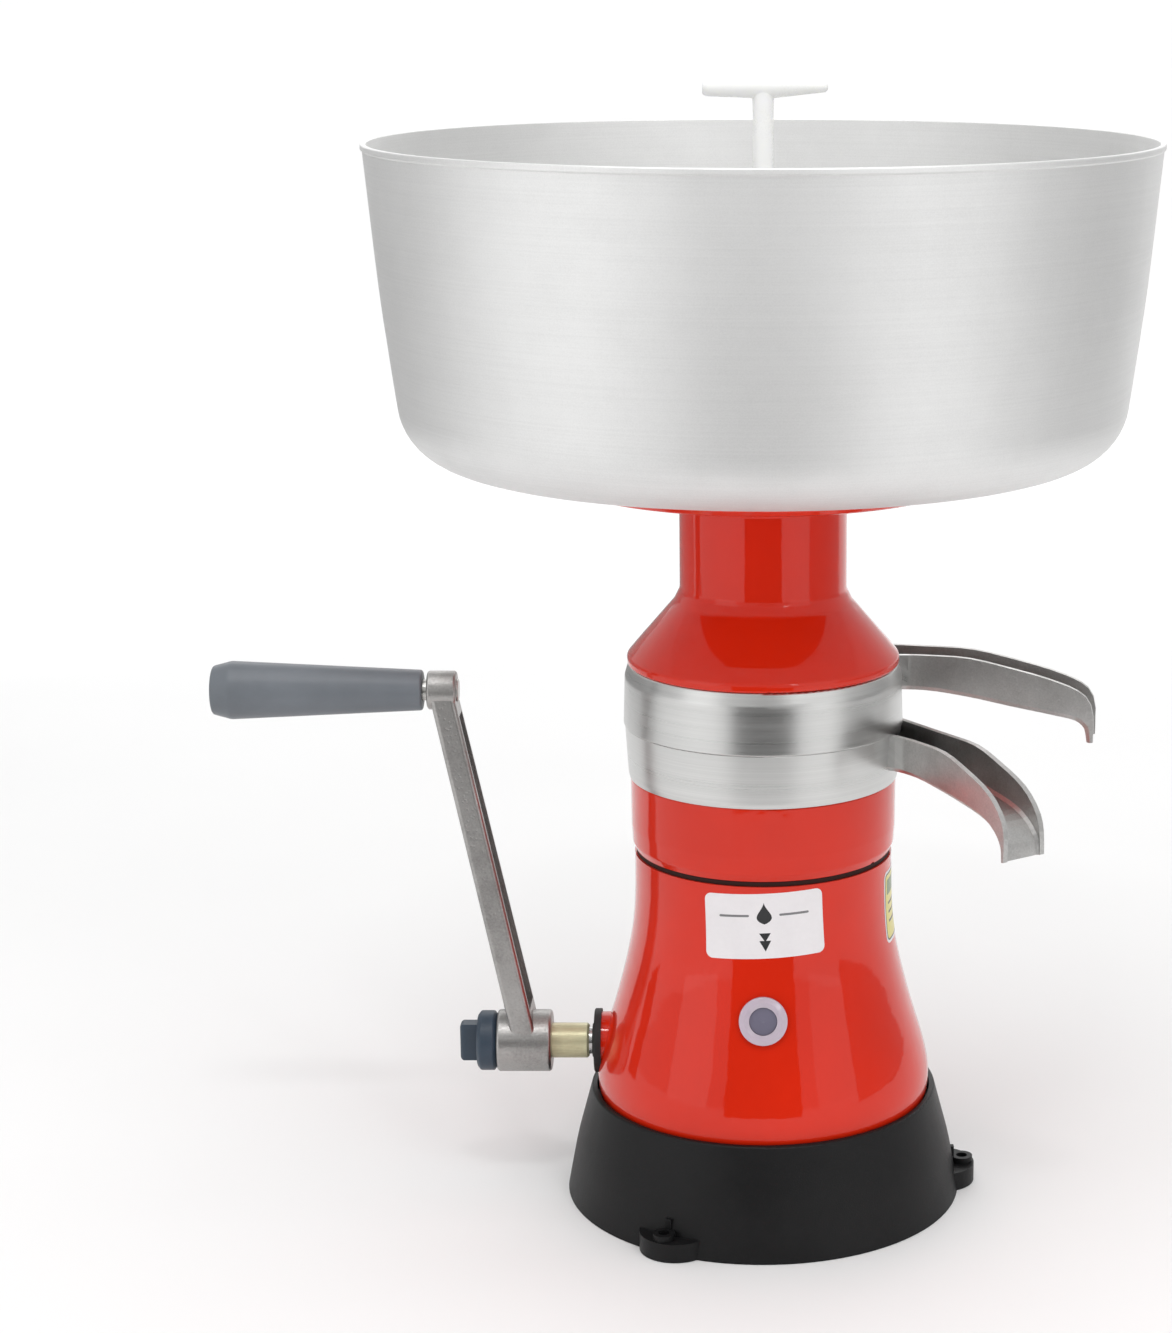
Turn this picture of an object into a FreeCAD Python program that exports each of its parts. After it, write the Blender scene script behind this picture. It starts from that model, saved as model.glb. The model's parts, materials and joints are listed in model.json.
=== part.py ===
import FreeCAD, Part
import math
import os
import Sketcher

V = FreeCAD.Vector
ROT = FreeCAD.Rotation
PLACE = FreeCAD.Placement

# Driving sizes in millimetres or degrees: alias, value, meaning.
# The spindle axis is Z, the floor is z = 0, the crank side is -X and the oil plug side is -Y.
SIZES = [
    ("stand_foot_radius", 95.6, "stand outside at the floor"),
    ("stand_mid_radius", 90.9, "stand outside at half height"),
    ("stand_mid_height", 25.0, "height of that radius"),
    ("stand_top_radius", 83.4, "stand outside at its rim"),
    ("stand_height", 53.0, "stand rim"),
    ("stand_shelf_height", 46.0, "shelf that carries the housing"),
    ("stand_shelf_radius", 75.0, "opening in the shelf"),
    ("stand_wall", 4.4, "stand wall"),
    ("lug_radius", 17.0, "rounded mounting ear"),
    ("lug_offset", 87.0, "ear centre from the axis"),
    ("lug_height", 9.0, "ear thickness"),
    ("lug_hole_radius", 2.7, "hole for a wood screw"),
    ("lug_hole_offset", 98.0, "screw hole from the axis"),
    ("lug_boss_height", 12.0, "raised ring round the hole"),
    ("lug_first_angle", 2.0, "first ear, from +X"),
    ("sump_radius", 73.6, "housing outside below the shelf"),
    ("sump_bottom", 22.0, "lower face of the housing"),
    ("housing_wall", 4.0, "housing wall"),
    ("housing_top", 171.5, "upper face of the housing"),
    ("diaphragm_height", 160.0, "underside of the housing diaphragm"),
    ("diaphragm_thickness", 5.0, "housing diaphragm"),
    ("neck_boss_radius", 24.0, "boss round the upper bearing"),
    ("neck_boss_top", 177.0, "top of that boss"),
    ("damper_radius", 20.0, "damper ring outside"),
    ("cover_plate_thickness", 3.0, "sump cover"),
    ("gasket_thickness", 1.0, "sump gasket"),
    ("crank_height", 73.5, "crankshaft axis above the floor"),
    ("crank_throw", 176.0, "crankshaft axis to grip axis"),
    ("crankshaft_radius", 6.0, "crankshaft"),
    ("bush_radius", 9.0, "bush outside"),
    ("running_gap", 0.04, "radial clearance of turning shafts"),
    ("flange_radius", 15.5, "shaft seal flange"),
    ("flange_face", 82.0, "outer face of that flange from the axis"),
    ("flange_seat", 78.5, "inner face of that flange"),
    ("sleeve_radius", 8.5, "olive shaft sleeve"),
    ("hub_inner", 102.7, "inner face of the crank hub"),
    ("hub_outer", 129.2, "outer face of the crank hub"),
    ("hub_radius", 15.0, "crank hub"),
    ("boss_inner", 145.0, "inner face of the grip boss"),
    ("boss_outer", 158.7, "outer face of the grip boss"),
    ("boss_radius", 9.2, "grip boss"),
    ("arm_thickness", 11.5, "crank arm"),
    ("grip_start", 161.0, "inner end of the grip"),
    ("grip_end", 260.3, "outer end of the grip"),
    ("grip_small_radius", 9.6, "grip at the arm"),
    ("grip_big_radius", 13.85, "grip at the free end"),
    ("grip_pin_radius", 4.0, "pin inside the grip"),
    ("gear_module", 1.0, "module of both gear pairs"),
    ("crank_teeth", 90.0, "teeth of the crank gear"),
    ("pinion_teeth", 14.0, "teeth of the pinion"),
    ("wheel_teeth", 50.0, "teeth of the worm wheel"),
    ("worm_starts", 2.0, "starts of the worm"),
    ("worm_radius", 4.5, "worm pitch radius"),
    ("gear_inner", 32.0, "inner face of the crank gear"),
    ("gear_width", 8.0, "width of the crank gear"),
    ("layshaft_offset", 29.5, "layshaft axis behind the spindle axis"),
    ("layshaft_height", 116.324, "layshaft axis above the floor"),
    ("layshaft_radius", 4.0, "layshaft"),
    ("layshaft_bush_radius", 6.5, "layshaft bush outside"),
    ("pillar_inner", 20.0, "inner face of the frame pillars"),
    ("pillar_outer", 27.0, "outer face of the frame pillars"),
    ("frame_height", 76.0, "underside of the gear frame plate"),
    ("frame_thickness", 6.0, "gear frame plate"),
    ("frame_radius", 68.0, "gear frame plate"),
    ("spindle_radius", 5.0, "spindle"),
    ("journal_radius", 3.0, "lower spindle journal"),
    ("lower_bearing_radius", 9.5, "lower bearing outside"),
    ("lower_bearing_base", 84.0, "lower bearing underside"),
    ("lower_bearing_width", 6.0, "lower bearing"),
    ("upper_bearing_radius", 13.0, "upper bearing outside"),
    ("upper_bearing_base", 167.0, "upper bearing underside"),
    ("upper_bearing_width", 8.0, "upper bearing"),
    ("casing_low_radius", 61.5, "drum casing at its lower edge"),
    ("casing_top_radius", 63.1, "drum casing at its top"),
    ("casing_top", 209.5, "drum casing top"),
    ("casing_bore", 59.5, "drum casing inside"),
    ("casing_floor", 180.5, "drum casing floor"),
    ("skim_low_radius", 64.0, "skim collector at its lower edge"),
    ("skim_top_radius", 65.5, "skim collector at the seam"),
    ("seam_height", 235.0, "seam between the collectors"),
    ("cream_low_radius", 66.1, "cream collector at the seam"),
    ("cream_top_radius", 65.4, "cream collector at its shoulder"),
    ("ring_top", 264.0, "top of the cream collector"),
    ("register_radius", 61.9, "register ring of the collectors"),
    ("cone_foot_radius", 64.2, "top cover at its lower edge"),
    ("cone_low_radius", 58.6, "top cover where the cone starts"),
    ("cone_low_height", 274.4, "height of that radius"),
    ("cone_high_radius", 42.0, "top cover where the neck starts"),
    ("cone_high_height", 293.8, "height of that radius"),
    ("neck_radius", 39.2, "top cover neck"),
    ("neck_top", 345.5, "top of the neck"),
    ("cover_wall", 2.4, "top cover wall"),
    ("saucer_radius", 95.3, "float chamber outside"),
    ("saucer_low", 350.2, "float chamber lower edge"),
    ("saucer_top", 362.0, "float chamber rim, where the bowl rests"),
    ("saucer_floor", 347.8, "float chamber floor"),
    ("float_seat", 350.5, "ring that carries the float"),
    ("float_radius", 72.0, "float"),
    ("float_thickness", 6.5, "float"),
    ("feed_radius", 5.0, "feed tube outside"),
    ("feed_bore", 4.0, "feed tube inside"),
    ("feed_end", 222.0, "lower end of the feed tube"),
    ("bowl_wall", 1.7, "milk bowl wall"),
    ("bowl_rim_radius", 181.0, "milk bowl rim outside"),
    ("bowl_rim_height", 506.0, "milk bowl rim"),
    ("bowl_mid_radius", 174.1, "milk bowl at half height"),
    ("bowl_mid_height", 436.4, "height of that radius"),
    ("bowl_low_radius", 164.4, "milk bowl corner before rounding"),
    ("bowl_corner", 29.0, "milk bowl corner rounding"),
    ("outlet_radius", 9.0, "hole in the bowl floor"),
    ("turret_radius", 10.0, "outlet turret"),
    ("turret_top", 378.0, "outlet turret top"),
    ("plug_radius", 4.95, "plug in the turret"),
    ("stem_radius", 4.65, "plug stem"),
    ("handle_height", 530.0, "axis of the plug handle"),
    ("handle_left", 27.5, "handle length to -X"),
    ("handle_right", 29.2, "handle length to +X"),
    ("port_height", 371.0, "outlet port"),
    ("drum_radius", 51.0, "drum outside"),
    ("drum_bottom", 187.0, "drum underside"),
    ("drum_joint", 205.0, "joint between drum base and cover"),
    ("drum_neck_radius", 16.5, "drum cover neck"),
    ("disc_count", 11.0, "separating discs"),
    ("disc_outer", 44.0, "separating disc outside"),
    ("disc_inner", 13.0, "separating disc inside"),
    ("disc_slope", 0.672, "rise of a disc per millimetre of radius"),
    ("disc_thickness", 0.5, "separating disc"),
    ("disc_pitch", 0.95, "step between discs"),
    ("cream_spout_angle", -10.0, "direction of the cream spout from +X"),
    ("skim_spout_angle", -55.0, "direction of the skim spout from +X"),
    ("spout_offset", 45.0, "distance of each spout's centre line from the axis"),
    ("spout_wall", 2.6, "spout wall"),
    ("plug_seat_height", 109.0, "oil plug above the floor"),
    ("oil_ring_radius", 11.3, "oil plug flange"),
    ("oil_lens_radius", 6.5, "oil plug lens"),
    ("label_thickness", 0.2, "sticker"),
]

# Outside of the gear housing above the shelf: radius, height.
FLARE = [
    (78.6, 46.0), (79.9, 52.0), (80.5, 59.0), (79.9, 66.0), (77.9, 75.0), (74.9, 85.0), (71.8, 95.0),
    (68.8, 106.0), (66.3, 116.0), (64.2, 126.0), (62.8, 135.0), (61.8, 146.0), (61.4, 158.0), (61.4, 171.5),
]

# Spout stations along each spout: reach, floor height, tilt down in degrees, near side, far side, wall height.
CREAM_SPOUT = [
    (24.0, 243.8, 0.0, -22.0, 11.0, 17.5), (50.0, 243.8, 1.0, -17.0, 11.0, 17.5),
    (60.0, 243.8, 2.0, -12.6, 11.0, 17.5), (72.0, 243.6, 4.0, -11.0, 11.0, 17.6),
    (92.0, 241.4, 7.0, -11.0, 11.0, 19.2), (114.0, 237.4, 9.5, -11.0, 11.0, 18.6),
    (136.0, 233.6, 10.0, -10.8, 10.8, 16.4), (145.0, 231.6, 22.0, -10.5, 10.5, 13.2),
    (149.4, 227.6, 62.0, -10.0, 10.0, 4.8), (150.7, 221.0, 84.0, -9.6, 9.6, 3.0),
]
SKIM_SPOUT = [
    (24.0, 217.5, 0.0, -22.0, 11.0, 17.5), (50.0, 217.5, 0.0, -17.0, 11.0, 17.5),
    (60.0, 217.5, 1.0, -12.6, 11.0, 17.5), (72.0, 217.3, 3.0, -11.2, 11.2, 17.7),
    (90.0, 215.4, 8.0, -11.2, 11.2, 19.4), (108.0, 212.6, 11.0, -11.2, 11.2, 17.0),
    (122.0, 209.6, 18.0, -11.3, 11.3, 14.0), (130.5, 205.0, 42.0, -11.5, 11.5, 9.6),
    (134.8, 199.6, 68.0, -11.8, 11.8, 4.8), (136.2, 193.6, 84.0, -12.0, 12.0, 3.0),
]


class Term:
    """A size together with the sheet expression that gives it."""

    def __init__(self, value, text):
        self.value = float(value)
        self.text = text

    def joined(self, other, sign, value):
        return Term(value, f"({self.text} {sign} {other.text})")

    def __add__(self, other):
        other = term(other)
        return self.joined(other, "+", self.value + other.value)

    def __sub__(self, other):
        other = term(other)
        return self.joined(other, "-", self.value - other.value)

    def __mul__(self, other):
        other = term(other)
        return self.joined(other, "*", self.value * other.value)

    def __truediv__(self, other):
        other = term(other)
        return self.joined(other, "/", self.value / other.value)

    def __radd__(self, other):
        return term(other) + self

    def __rsub__(self, other):
        return term(other) - self


def term(x):
    return x if isinstance(x, Term) else Term(x, f"{x:g}")


doc = FreeCAD.newDocument("cream_separator")
sheet = doc.addObject("Spreadsheet::Sheet", "Sizes")
D = {}
for row, (alias, size, meaning) in enumerate(SIZES, start=1):
    sheet.set(f"A{row}", alias)
    sheet.set(f"B{row}", str(size))
    sheet.set(f"C{row}", meaning)
    sheet.setAlias(f"B{row}", alias)
    D[alias] = Term(size, f"Sizes.{alias}")
doc.recompute()
N = {alias: t.value for alias, t in D.items()}
NODES = []


def keep(obj, label):
    """Name an object as one of the finished sub-parts."""
    obj.Label = label
    NODES.append(obj)
    return obj


def origin_plane(body, role):
    return next(o for o in body.Origin.OriginFeatures if o.Role == role)


def bind(obj, prop, t):
    t = term(t)
    setattr(obj, prop, t.value)
    if "Sizes." in t.text:
        obj.setExpression(prop, t.text)


def rounding_arc(before, corner, after, radius):
    """The arc that rounds a corner, its ends on the way in and out, and whether it turns left."""
    way_in = (corner - before).normalize()
    way_out = (after - corner).normalize()
    turn = way_in.getAngle(way_out)
    back = radius * math.tan(turn / 2)
    left = way_in.cross(way_out).z > 0
    start, end = corner - way_in * back, corner + way_out * back
    side = V(-way_in.y, way_in.x, 0) if left else V(way_in.y, -way_in.x, 0)
    centre = start + side * radius
    first, last = (start, end) if left else (end, start)
    angles = [math.atan2(p.y - centre.y, p.x - centre.x) for p in (first, last)]
    circle = Part.Circle(centre, V(0, 0, 1), radius)
    return Part.ArcOfCircle(circle, angles[0], angles[1]), start, end, left


def pin_corner(sketch, point, r, z):
    """Hold a sketch point (edge, position) at two terms."""
    for kind, axis, t in (("DistanceX", -2, term(r)), ("DistanceY", -1, term(z))):
        if abs(t.value) < 1e-9:
            sketch.addConstraint(Sketcher.Constraint("PointOnObject", point[0], point[1], axis))
            continue
        sketch.addConstraint(Sketcher.Constraint(kind, -1, 1, point[0], point[1], t.value))
        if "Sizes." in t.text:
            sketch.setExpression(f"Constraints[{sketch.ConstraintCount - 1}]", t.text)


def draw_outline(sketch, outline):
    """Closed outline of (radius, height[, rounding]) corners, each corner held by the sheet."""
    spots = [V(term(c[0]).value, term(c[1]).value, 0) for c in outline]
    count = len(spots)
    arcs = [None] * count
    for i, corner in enumerate(outline):
        if len(corner) > 2:
            arcs[i] = rounding_arc(spots[i - 1], spots[i], spots[(i + 1) % count], term(corner[2]).value)
    for i in range(count):
        nxt = (i + 1) % count
        start = arcs[i][2] if arcs[i] else spots[i]
        end = arcs[nxt][1] if arcs[nxt] else spots[nxt]
        sketch.addGeometry(Part.LineSegment(start, end), False)
    for i, corner in enumerate(outline):
        previous = (i - 1) % count
        if not arcs[i]:
            sketch.addConstraint(Sketcher.Constraint("Coincident", previous, 2, i, 1))
            pin_corner(sketch, (i, 1), corner[0], corner[1])
            continue
        arc, _, _, left = arcs[i]
        edge = sketch.addGeometry(arc, False)
        first, last = (1, 2) if left else (2, 1)
        sketch.addConstraint(Sketcher.Constraint("Tangent", previous, 2, edge, first))
        sketch.addConstraint(Sketcher.Constraint("Tangent", edge, last, i, 1))
        radius = term(corner[2])
        sketch.addConstraint(Sketcher.Constraint("Radius", edge, radius.value))
        if "Sizes." in radius.text:
            sketch.setExpression(f"Constraints[{sketch.ConstraintCount - 1}]", radius.text)
        mark = sketch.addGeometry(Part.Point(spots[i]), True)
        sketch.addConstraint(Sketcher.Constraint("PointOnObject", mark, 1, previous))
        sketch.addConstraint(Sketcher.Constraint("PointOnObject", mark, 1, i))
        pin_corner(sketch, (mark, 1), corner[0], corner[1])


def turned(label, outline, place=None):
    """A PartDesign body revolved about its own Z from (radius, height[, rounding]) corners."""
    body = doc.addObject("PartDesign::Body", label)
    sketch = body.newObject("Sketcher::SketchObject", label + "_outline")
    sketch.AttachmentSupport = [(origin_plane(body, "XZ_Plane"), "")]
    sketch.MapMode = "FlatFace"
    draw_outline(sketch, outline)
    turn = body.newObject("PartDesign::Revolution", label + "_turn")
    turn.Profile = sketch
    turn.ReferenceAxis = (sketch, ["V_Axis"])
    turn.Angle = 360.0
    doc.recompute()
    if turn.Shape.isNull():
        raise RuntimeError(f"{label} did not revolve")
    if place:
        body.Placement = place
    return body


def rod(label, radius, height, base, axis=V(0, 0, 1)):
    """A Part cylinder from a point along an axis."""
    obj = doc.addObject("Part::Cylinder", label)
    bind(obj, "Radius", radius)
    bind(obj, "Height", height)
    obj.Placement = PLACE(base, ROT(V(0, 0, 1), axis))
    return obj


def block(label, size, corner, turn=0.0):
    """A Part box with its corner given before a turn about Z."""
    obj = doc.addObject("Part::Box", label)
    for prop, t in zip(("Length", "Width", "Height"), size):
        bind(obj, prop, t)
    spin = ROT(V(0, 0, 1), turn)
    obj.Placement = PLACE(spin.multVec(corner), spin)
    return obj


def shaped(label, shape):
    """A shape built in code, for what primitives and sketches can't give."""
    obj = doc.addObject("Part::Feature", label)
    obj.Shape = shape
    return obj


def fused(label, parts):
    obj = doc.addObject("Part::MultiFuse", label)
    obj.Shapes = parts
    return obj


def cut(label, base, tools):
    """Base less one or more tools."""
    tool = tools[0] if len(tools) == 1 else fused(label + "_tools", tools)
    obj = doc.addObject("Part::Cut", label)
    obj.Base = base
    obj.Tool = tool
    return obj


def polar(radius, angle, z=0.0):
    a = math.radians(angle)
    return V(radius * math.cos(a), radius * math.sin(a), z)


def outward(along=0.0):
    """Placement whose Z runs from the spindle axis out along the crankshaft."""
    return PLACE(V(-along, 0, N["crank_height"]), ROT(V(0, 1, 0), -90))


def gear_wire(teeth, module, backlash, z, turn=0.0):
    """Closed outline of an involute spur gear, pressure angle 20 degrees."""
    pitch = module * teeth / 2
    base = pitch * math.cos(math.radians(20))
    tip = pitch + module * 0.98
    root = pitch - 1.25 * module
    half = math.pi / (2 * teeth) - backlash / (2 * pitch)
    roll_pitch = math.tan(math.radians(20)) - math.radians(20)
    flank = []
    for k in range(4):
        r = max(base, root) + (tip - max(base, root)) * k / 3
        roll = math.acos(min(1.0, base / r))
        flank.append((r, half + roll_pitch - (math.tan(roll) - roll)))
    if root < base:
        flank.insert(0, (root, flank[0][1]))
    points = []
    for tooth in range(teeth):
        centre = 2 * math.pi * tooth / teeth + math.radians(turn)
        for r, a in flank:
            points.append(V(r * math.cos(centre - a), r * math.sin(centre - a), z))
        for r, a in reversed(flank):
            points.append(V(r * math.cos(centre + a), r * math.sin(centre + a), z))
    return Part.makePolygon(points + points[:1])


def flare_curve(inset):
    """The housing's outside profile moved in by a wall."""
    curve = Part.BSplineCurve()
    curve.interpolate([V(r - inset, 0, z) for r, z in FLARE])
    return curve


def revolve_wire(edges, angle=360.0, start=0.0):
    face = Part.Face(Part.Wire(edges))
    face.rotate(V(0, 0, 0), V(0, 0, 1), start)
    return face.revolve(V(0, 0, 0), V(0, 0, 1), angle)


def chain(points):
    return [Part.makeLine(V(*a), V(*b)) for a, b in zip(points, points[1:])]


def channel_section(station, wall):
    """One U section of a spout, across its own line."""
    reach, floor, tilt, near, far, height = station
    along = math.radians(tilt)
    up = V(math.sin(along), 0, math.cos(along))
    base = V(reach, N["spout_offset"], floor)
    near_in, far_in = near + wall, far - wall
    base_wall = min(wall, height * 0.55)
    hollow = min(1.4, (height - base_wall) * 0.6)
    bevel = min(2.4, base_wall)
    loop = [(near, bevel), (near + bevel, 0), (far - bevel, 0), (far, bevel), (far, height),
            (far_in, height), (far_in, base_wall + hollow), (far_in - hollow, base_wall),
            (near_in + hollow, base_wall), (near_in, base_wall + hollow), (near_in, height), (near, height)]
    points = [base + V(0, t, 0) + up * h for t, h in loop]
    return Part.makePolygon(points + points[:1])


def eased(stations, steps):
    """Stations with steps between each two, on curves that never overshoot."""
    along = [0.0]
    for a, b in zip(stations, stations[1:]):
        along.append(along[-1] + math.hypot(b[0] - a[0], b[1] - a[1]))
    columns = list(zip(*stations))
    rows = []
    for k in range(len(stations) - 1):
        gap = along[k + 1] - along[k]
        for step in range(steps):
            t = step / steps
            row = []
            for column in columns:
                rise = column[k + 1] - column[k]
                tangents = [gap * knot_slope(along, column, j) for j in (k, k + 1)]
                row.append(column[k] + rise * (3 * t * t - 2 * t ** 3)
                           + tangents[0] * (t ** 3 - 2 * t * t + t) + tangents[1] * (t ** 3 - t * t))
            rows.append(tuple(row))
    return rows + [stations[-1]]


def knot_slope(along, column, j):
    """Slope at a knot: the harmonic mean of its two sides, or zero where they disagree."""
    if j == 0 or j == len(column) - 1:
        k = min(j, len(column) - 2)
        return (column[k + 1] - column[k]) / (along[k + 1] - along[k])
    before = (column[j] - column[j - 1]) / (along[j] - along[j - 1])
    after = (column[j + 1] - column[j]) / (along[j + 1] - along[j])
    if before * after <= 0:
        return 0.0
    return 2 * before * after / (before + after)


def spout(label, stations, angle, wall):
    """The cast channel of a spout, lofted through its eased stations."""
    wires = [channel_section(s, wall) for s in eased(stations, 3)]
    solid = Part.makeLoft(wires, True, True)
    solid.rotate(V(0, 0, 0), V(0, 0, 1), angle)
    return shaped(label, solid)


def mouth(label, stations, angle, wall, top):
    """The opening that a spout needs through its collector ring, up to a height."""
    floor, far = stations[0][1], stations[0][4] - wall
    near = stations[3][3] + wall
    solid = Part.makeBox(42.0, far - near, top - floor - wall, V(22.0, N["spout_offset"] + near, floor + wall))
    solid.rotate(V(0, 0, 0), V(0, 0, 1), angle)
    return shaped(label, solid)


# ---- stand -------------------------------------------------------------------------------------------
EARS = [N["lug_first_angle"] + 120.0 * i for i in range(3)]
stand_skin = turned("stand_skin", [
    (0, 0), (D["stand_foot_radius"], 0), (D["stand_mid_radius"], D["stand_mid_height"], 120.0),
    (D["stand_top_radius"], D["stand_height"], 1.2), (0, D["stand_height"]),
])
stand_ears = []
for i, angle in enumerate(EARS):
    ear = rod(f"ear_{i}", D["lug_radius"], D["lug_height"], polar(N["lug_offset"], angle))
    ring = rod(f"ear_ring_{i}", 5.2, D["lug_boss_height"], polar(N["lug_hole_offset"], angle))
    rib = block(f"ear_rib_{i}", (14.0, 3.0, 17.0), V(80.0, -1.5, 0), angle)
    stand_ears += [ear, ring, rib]
stand_solid = fused("stand_solid", [stand_skin] + stand_ears)
stand_hollow = turned("stand_hollow", [
    (0, 0), (D["stand_foot_radius"] - D["stand_wall"], 0),
    (D["stand_mid_radius"] - D["stand_wall"], D["stand_mid_height"]),
    (D["stand_top_radius"], D["stand_shelf_height"] - D["stand_wall"]),
    (D["stand_shelf_radius"], D["stand_shelf_height"] - D["stand_wall"]),
    (D["stand_shelf_radius"], D["stand_shelf_height"]),
    (D["stand_top_radius"] - 2.4, D["stand_shelf_height"]),
    (D["stand_top_radius"] - 2.4, D["stand_height"]), (0, D["stand_height"]),
])
ear_holes = [
    rod(f"ear_hole_{i}", D["lug_hole_radius"], 20.0, polar(N["lug_hole_offset"], a)) for i, a in enumerate(EARS)
]
SHELF_SCREWS = [62.0 + 120.0 * i for i in range(3)]
shelf_holes = [rod(f"shelf_hole_{i}", 2.0, 12.0, polar(77.2, a, 38.0)) for i, a in enumerate(SHELF_SCREWS)]
keep(cut("stand", stand_solid, [stand_hollow] + ear_holes + shelf_holes), "base_stand")

# ---- gear housing ------------------------------------------------------------------------------------
wall, shelf, top = N["housing_wall"], N["stand_shelf_height"], N["housing_top"]
skin = revolve_wire([flare_curve(0).toShape()] + chain([
    (FLARE[-1][0], 0, top), (0, 0, top), (0, 0, N["sump_bottom"]), (N["sump_radius"], 0, N["sump_bottom"]),
    (N["sump_radius"], 0, shelf), (FLARE[0][0], 0, shelf)]))
room_curve = flare_curve(wall)
room_cut = Part.makeCylinder(90, N["diaphragm_height"])
room = revolve_wire([room_curve.toShape()] + chain([
    (FLARE[-1][0] - wall, 0, top), (0, 0, top), (0, 0, N["sump_bottom"]),
    (N["sump_radius"] - wall, 0, N["sump_bottom"]), (N["sump_radius"] - wall, 0, shelf),
    (FLARE[0][0] - wall, 0, shelf)])).common(room_cut)
shelf_ring = Part.makeCylinder(90, wall, V(0, 0, shelf)).cut(Part.makeCylinder(N["sump_radius"] - wall, wall,
                                                                             V(0, 0, shelf)))
room = room.cut(shelf_ring)
well = Part.makeCylinder(FLARE[-1][0] - wall, 20, V(0, 0, N["diaphragm_height"] + N["diaphragm_thickness"]))
crank_boss = Part.makeCylinder(14, N["flange_seat"] - 52, V(-N["flange_seat"], 0, N["crank_height"]), V(1, 0, 0))
pads = [
    Part.makeBox(16, 16, 8, V(56, -8, N["frame_height"] + N["frame_thickness"])) for _ in range(3)
]
PAD_ANGLES = [-60.0, 0.0, 60.0]
for pad, angle in zip(pads, PAD_ANGLES):
    pad.rotate(V(0, 0, 0), V(0, 0, 1), angle)
CASING_SCREWS = [30.0 + 120.0 * i for i in range(3)]
posts = [
    Part.makeCylinder(5.5, N["neck_boss_top"] - N["diaphragm_height"], polar(45, a, N["diaphragm_height"]))
    for a in CASING_SCREWS
]
neck_boss = Part.makeCylinder(N["neck_boss_radius"], N["neck_boss_top"] - N["diaphragm_height"] + 2,
                              V(0, 0, N["diaphragm_height"] - 2))
TILT = 14.5
oil_axis = V(0, -math.cos(math.radians(TILT)), math.sin(math.radians(TILT)))
oil_face = V(0, -68.2, N["plug_seat_height"])
oil_start = oil_face - oil_axis * 8.0
spot_face = Part.makeCylinder(N["flange_radius"] + 0.1, 20, V(-N["flange_seat"] - 20, 0, N["crank_height"]),
                              V(1, 0, 0))
housing = skin.cut(spot_face).cut(room).cut(well).fuse([crank_boss] + posts + [neck_boss] + [p.common(skin) for p in pads])
holes = [
    Part.makeCylinder(N["damper_radius"], 20, V(0, 0, N["diaphragm_height"] + N["diaphragm_thickness"])),
    Part.makeCylinder(8, 30, V(0, 0, N["diaphragm_height"] - 5)),
    Part.makeCylinder(N["bush_radius"], 60, V(-90, 0, N["crank_height"]), V(1, 0, 0)),
    Part.makeCylinder(9, 20, oil_start - oil_axis * 6, oil_axis),
]
holes += [Part.makeCylinder(2.0, 7, polar(64, a, N["frame_height"] + N["frame_thickness"])) for a in PAD_ANGLES]
holes += [Part.makeCylinder(2.0, 12, polar(45, a, N["neck_boss_top"] - 12)) for a in CASING_SCREWS]
for angle in SHELF_SCREWS:
    holes.append(Part.makeCylinder(2.0, 6, polar(77.2, angle, shelf)))
SUMP_SCREWS = [15.0 + 60.0 * i for i in range(6)]
lands = [
    Part.makeCylinder(4.5, 12, polar(N["sump_radius"] - 5.0, a, N["sump_bottom"])) for a in SUMP_SCREWS
]
housing = housing.fuse([land.common(skin) for land in lands])
holes += [Part.makeCylinder(1.6, 9, polar(N["sump_radius"] - 5.0, a, N["sump_bottom"])) for a in SUMP_SCREWS]
for hole in holes:
    housing = housing.cut(hole)
keep(shaped("housing", housing.removeSplitter()), "gear_housing")

# ---- sump cover, gasket and fasteners ----------------------------------------------------------------
gasket_base = N["sump_bottom"] - N["gasket_thickness"]
plate_base = gasket_base - N["cover_plate_thickness"]
screw_ring = N["sump_radius"] - 5.0
gasket = turned("gasket_ring", [
    (D["sump_radius"] - 9.5, D["sump_bottom"] - D["gasket_thickness"]),
    (D["sump_radius"] - 0.4, D["sump_bottom"] - D["gasket_thickness"]),
    (D["sump_radius"] - 0.4, D["sump_bottom"]), (D["sump_radius"] - 9.5, D["sump_bottom"]),
])
plate_low = D["sump_bottom"] - D["gasket_thickness"] - D["cover_plate_thickness"]
plate = turned("cover_plate", [
    (0, plate_low), (D["sump_radius"] - 0.4, plate_low, 1.0),
    (D["sump_radius"] - 0.4, plate_low + D["cover_plate_thickness"]),
    (0, plate_low + D["cover_plate_thickness"]),
])


def screw_holes(label, radius):
    return [rod(f"{label}_{i}", radius, 20.0, polar(screw_ring, a, 15.0)) for i, a in enumerate(SUMP_SCREWS)]


keep(cut("gasket", gasket, screw_holes("gasket_hole", 1.6)), "sump_gasket")
keep(cut("plate", plate, screw_holes("plate_hole", 1.6)), "sump_cover")


def screws(label, spots, shank, head, length, head_height, base, up=True):
    """A set of pan-head screws on one node, heads outward."""
    parts = []
    for i, (radius, angle) in enumerate(spots):
        foot = polar(radius, angle, base)
        drop = V(0, 0, -head_height) if up else V(0, 0, 0)
        parts.append(rod(f"{label}_head_{i}", head, head_height, foot + drop))
        start = foot if up else foot - V(0, 0, length)
        parts.append(rod(f"{label}_shank_{i}", shank, length, start))
    return fused(label, parts)


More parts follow.
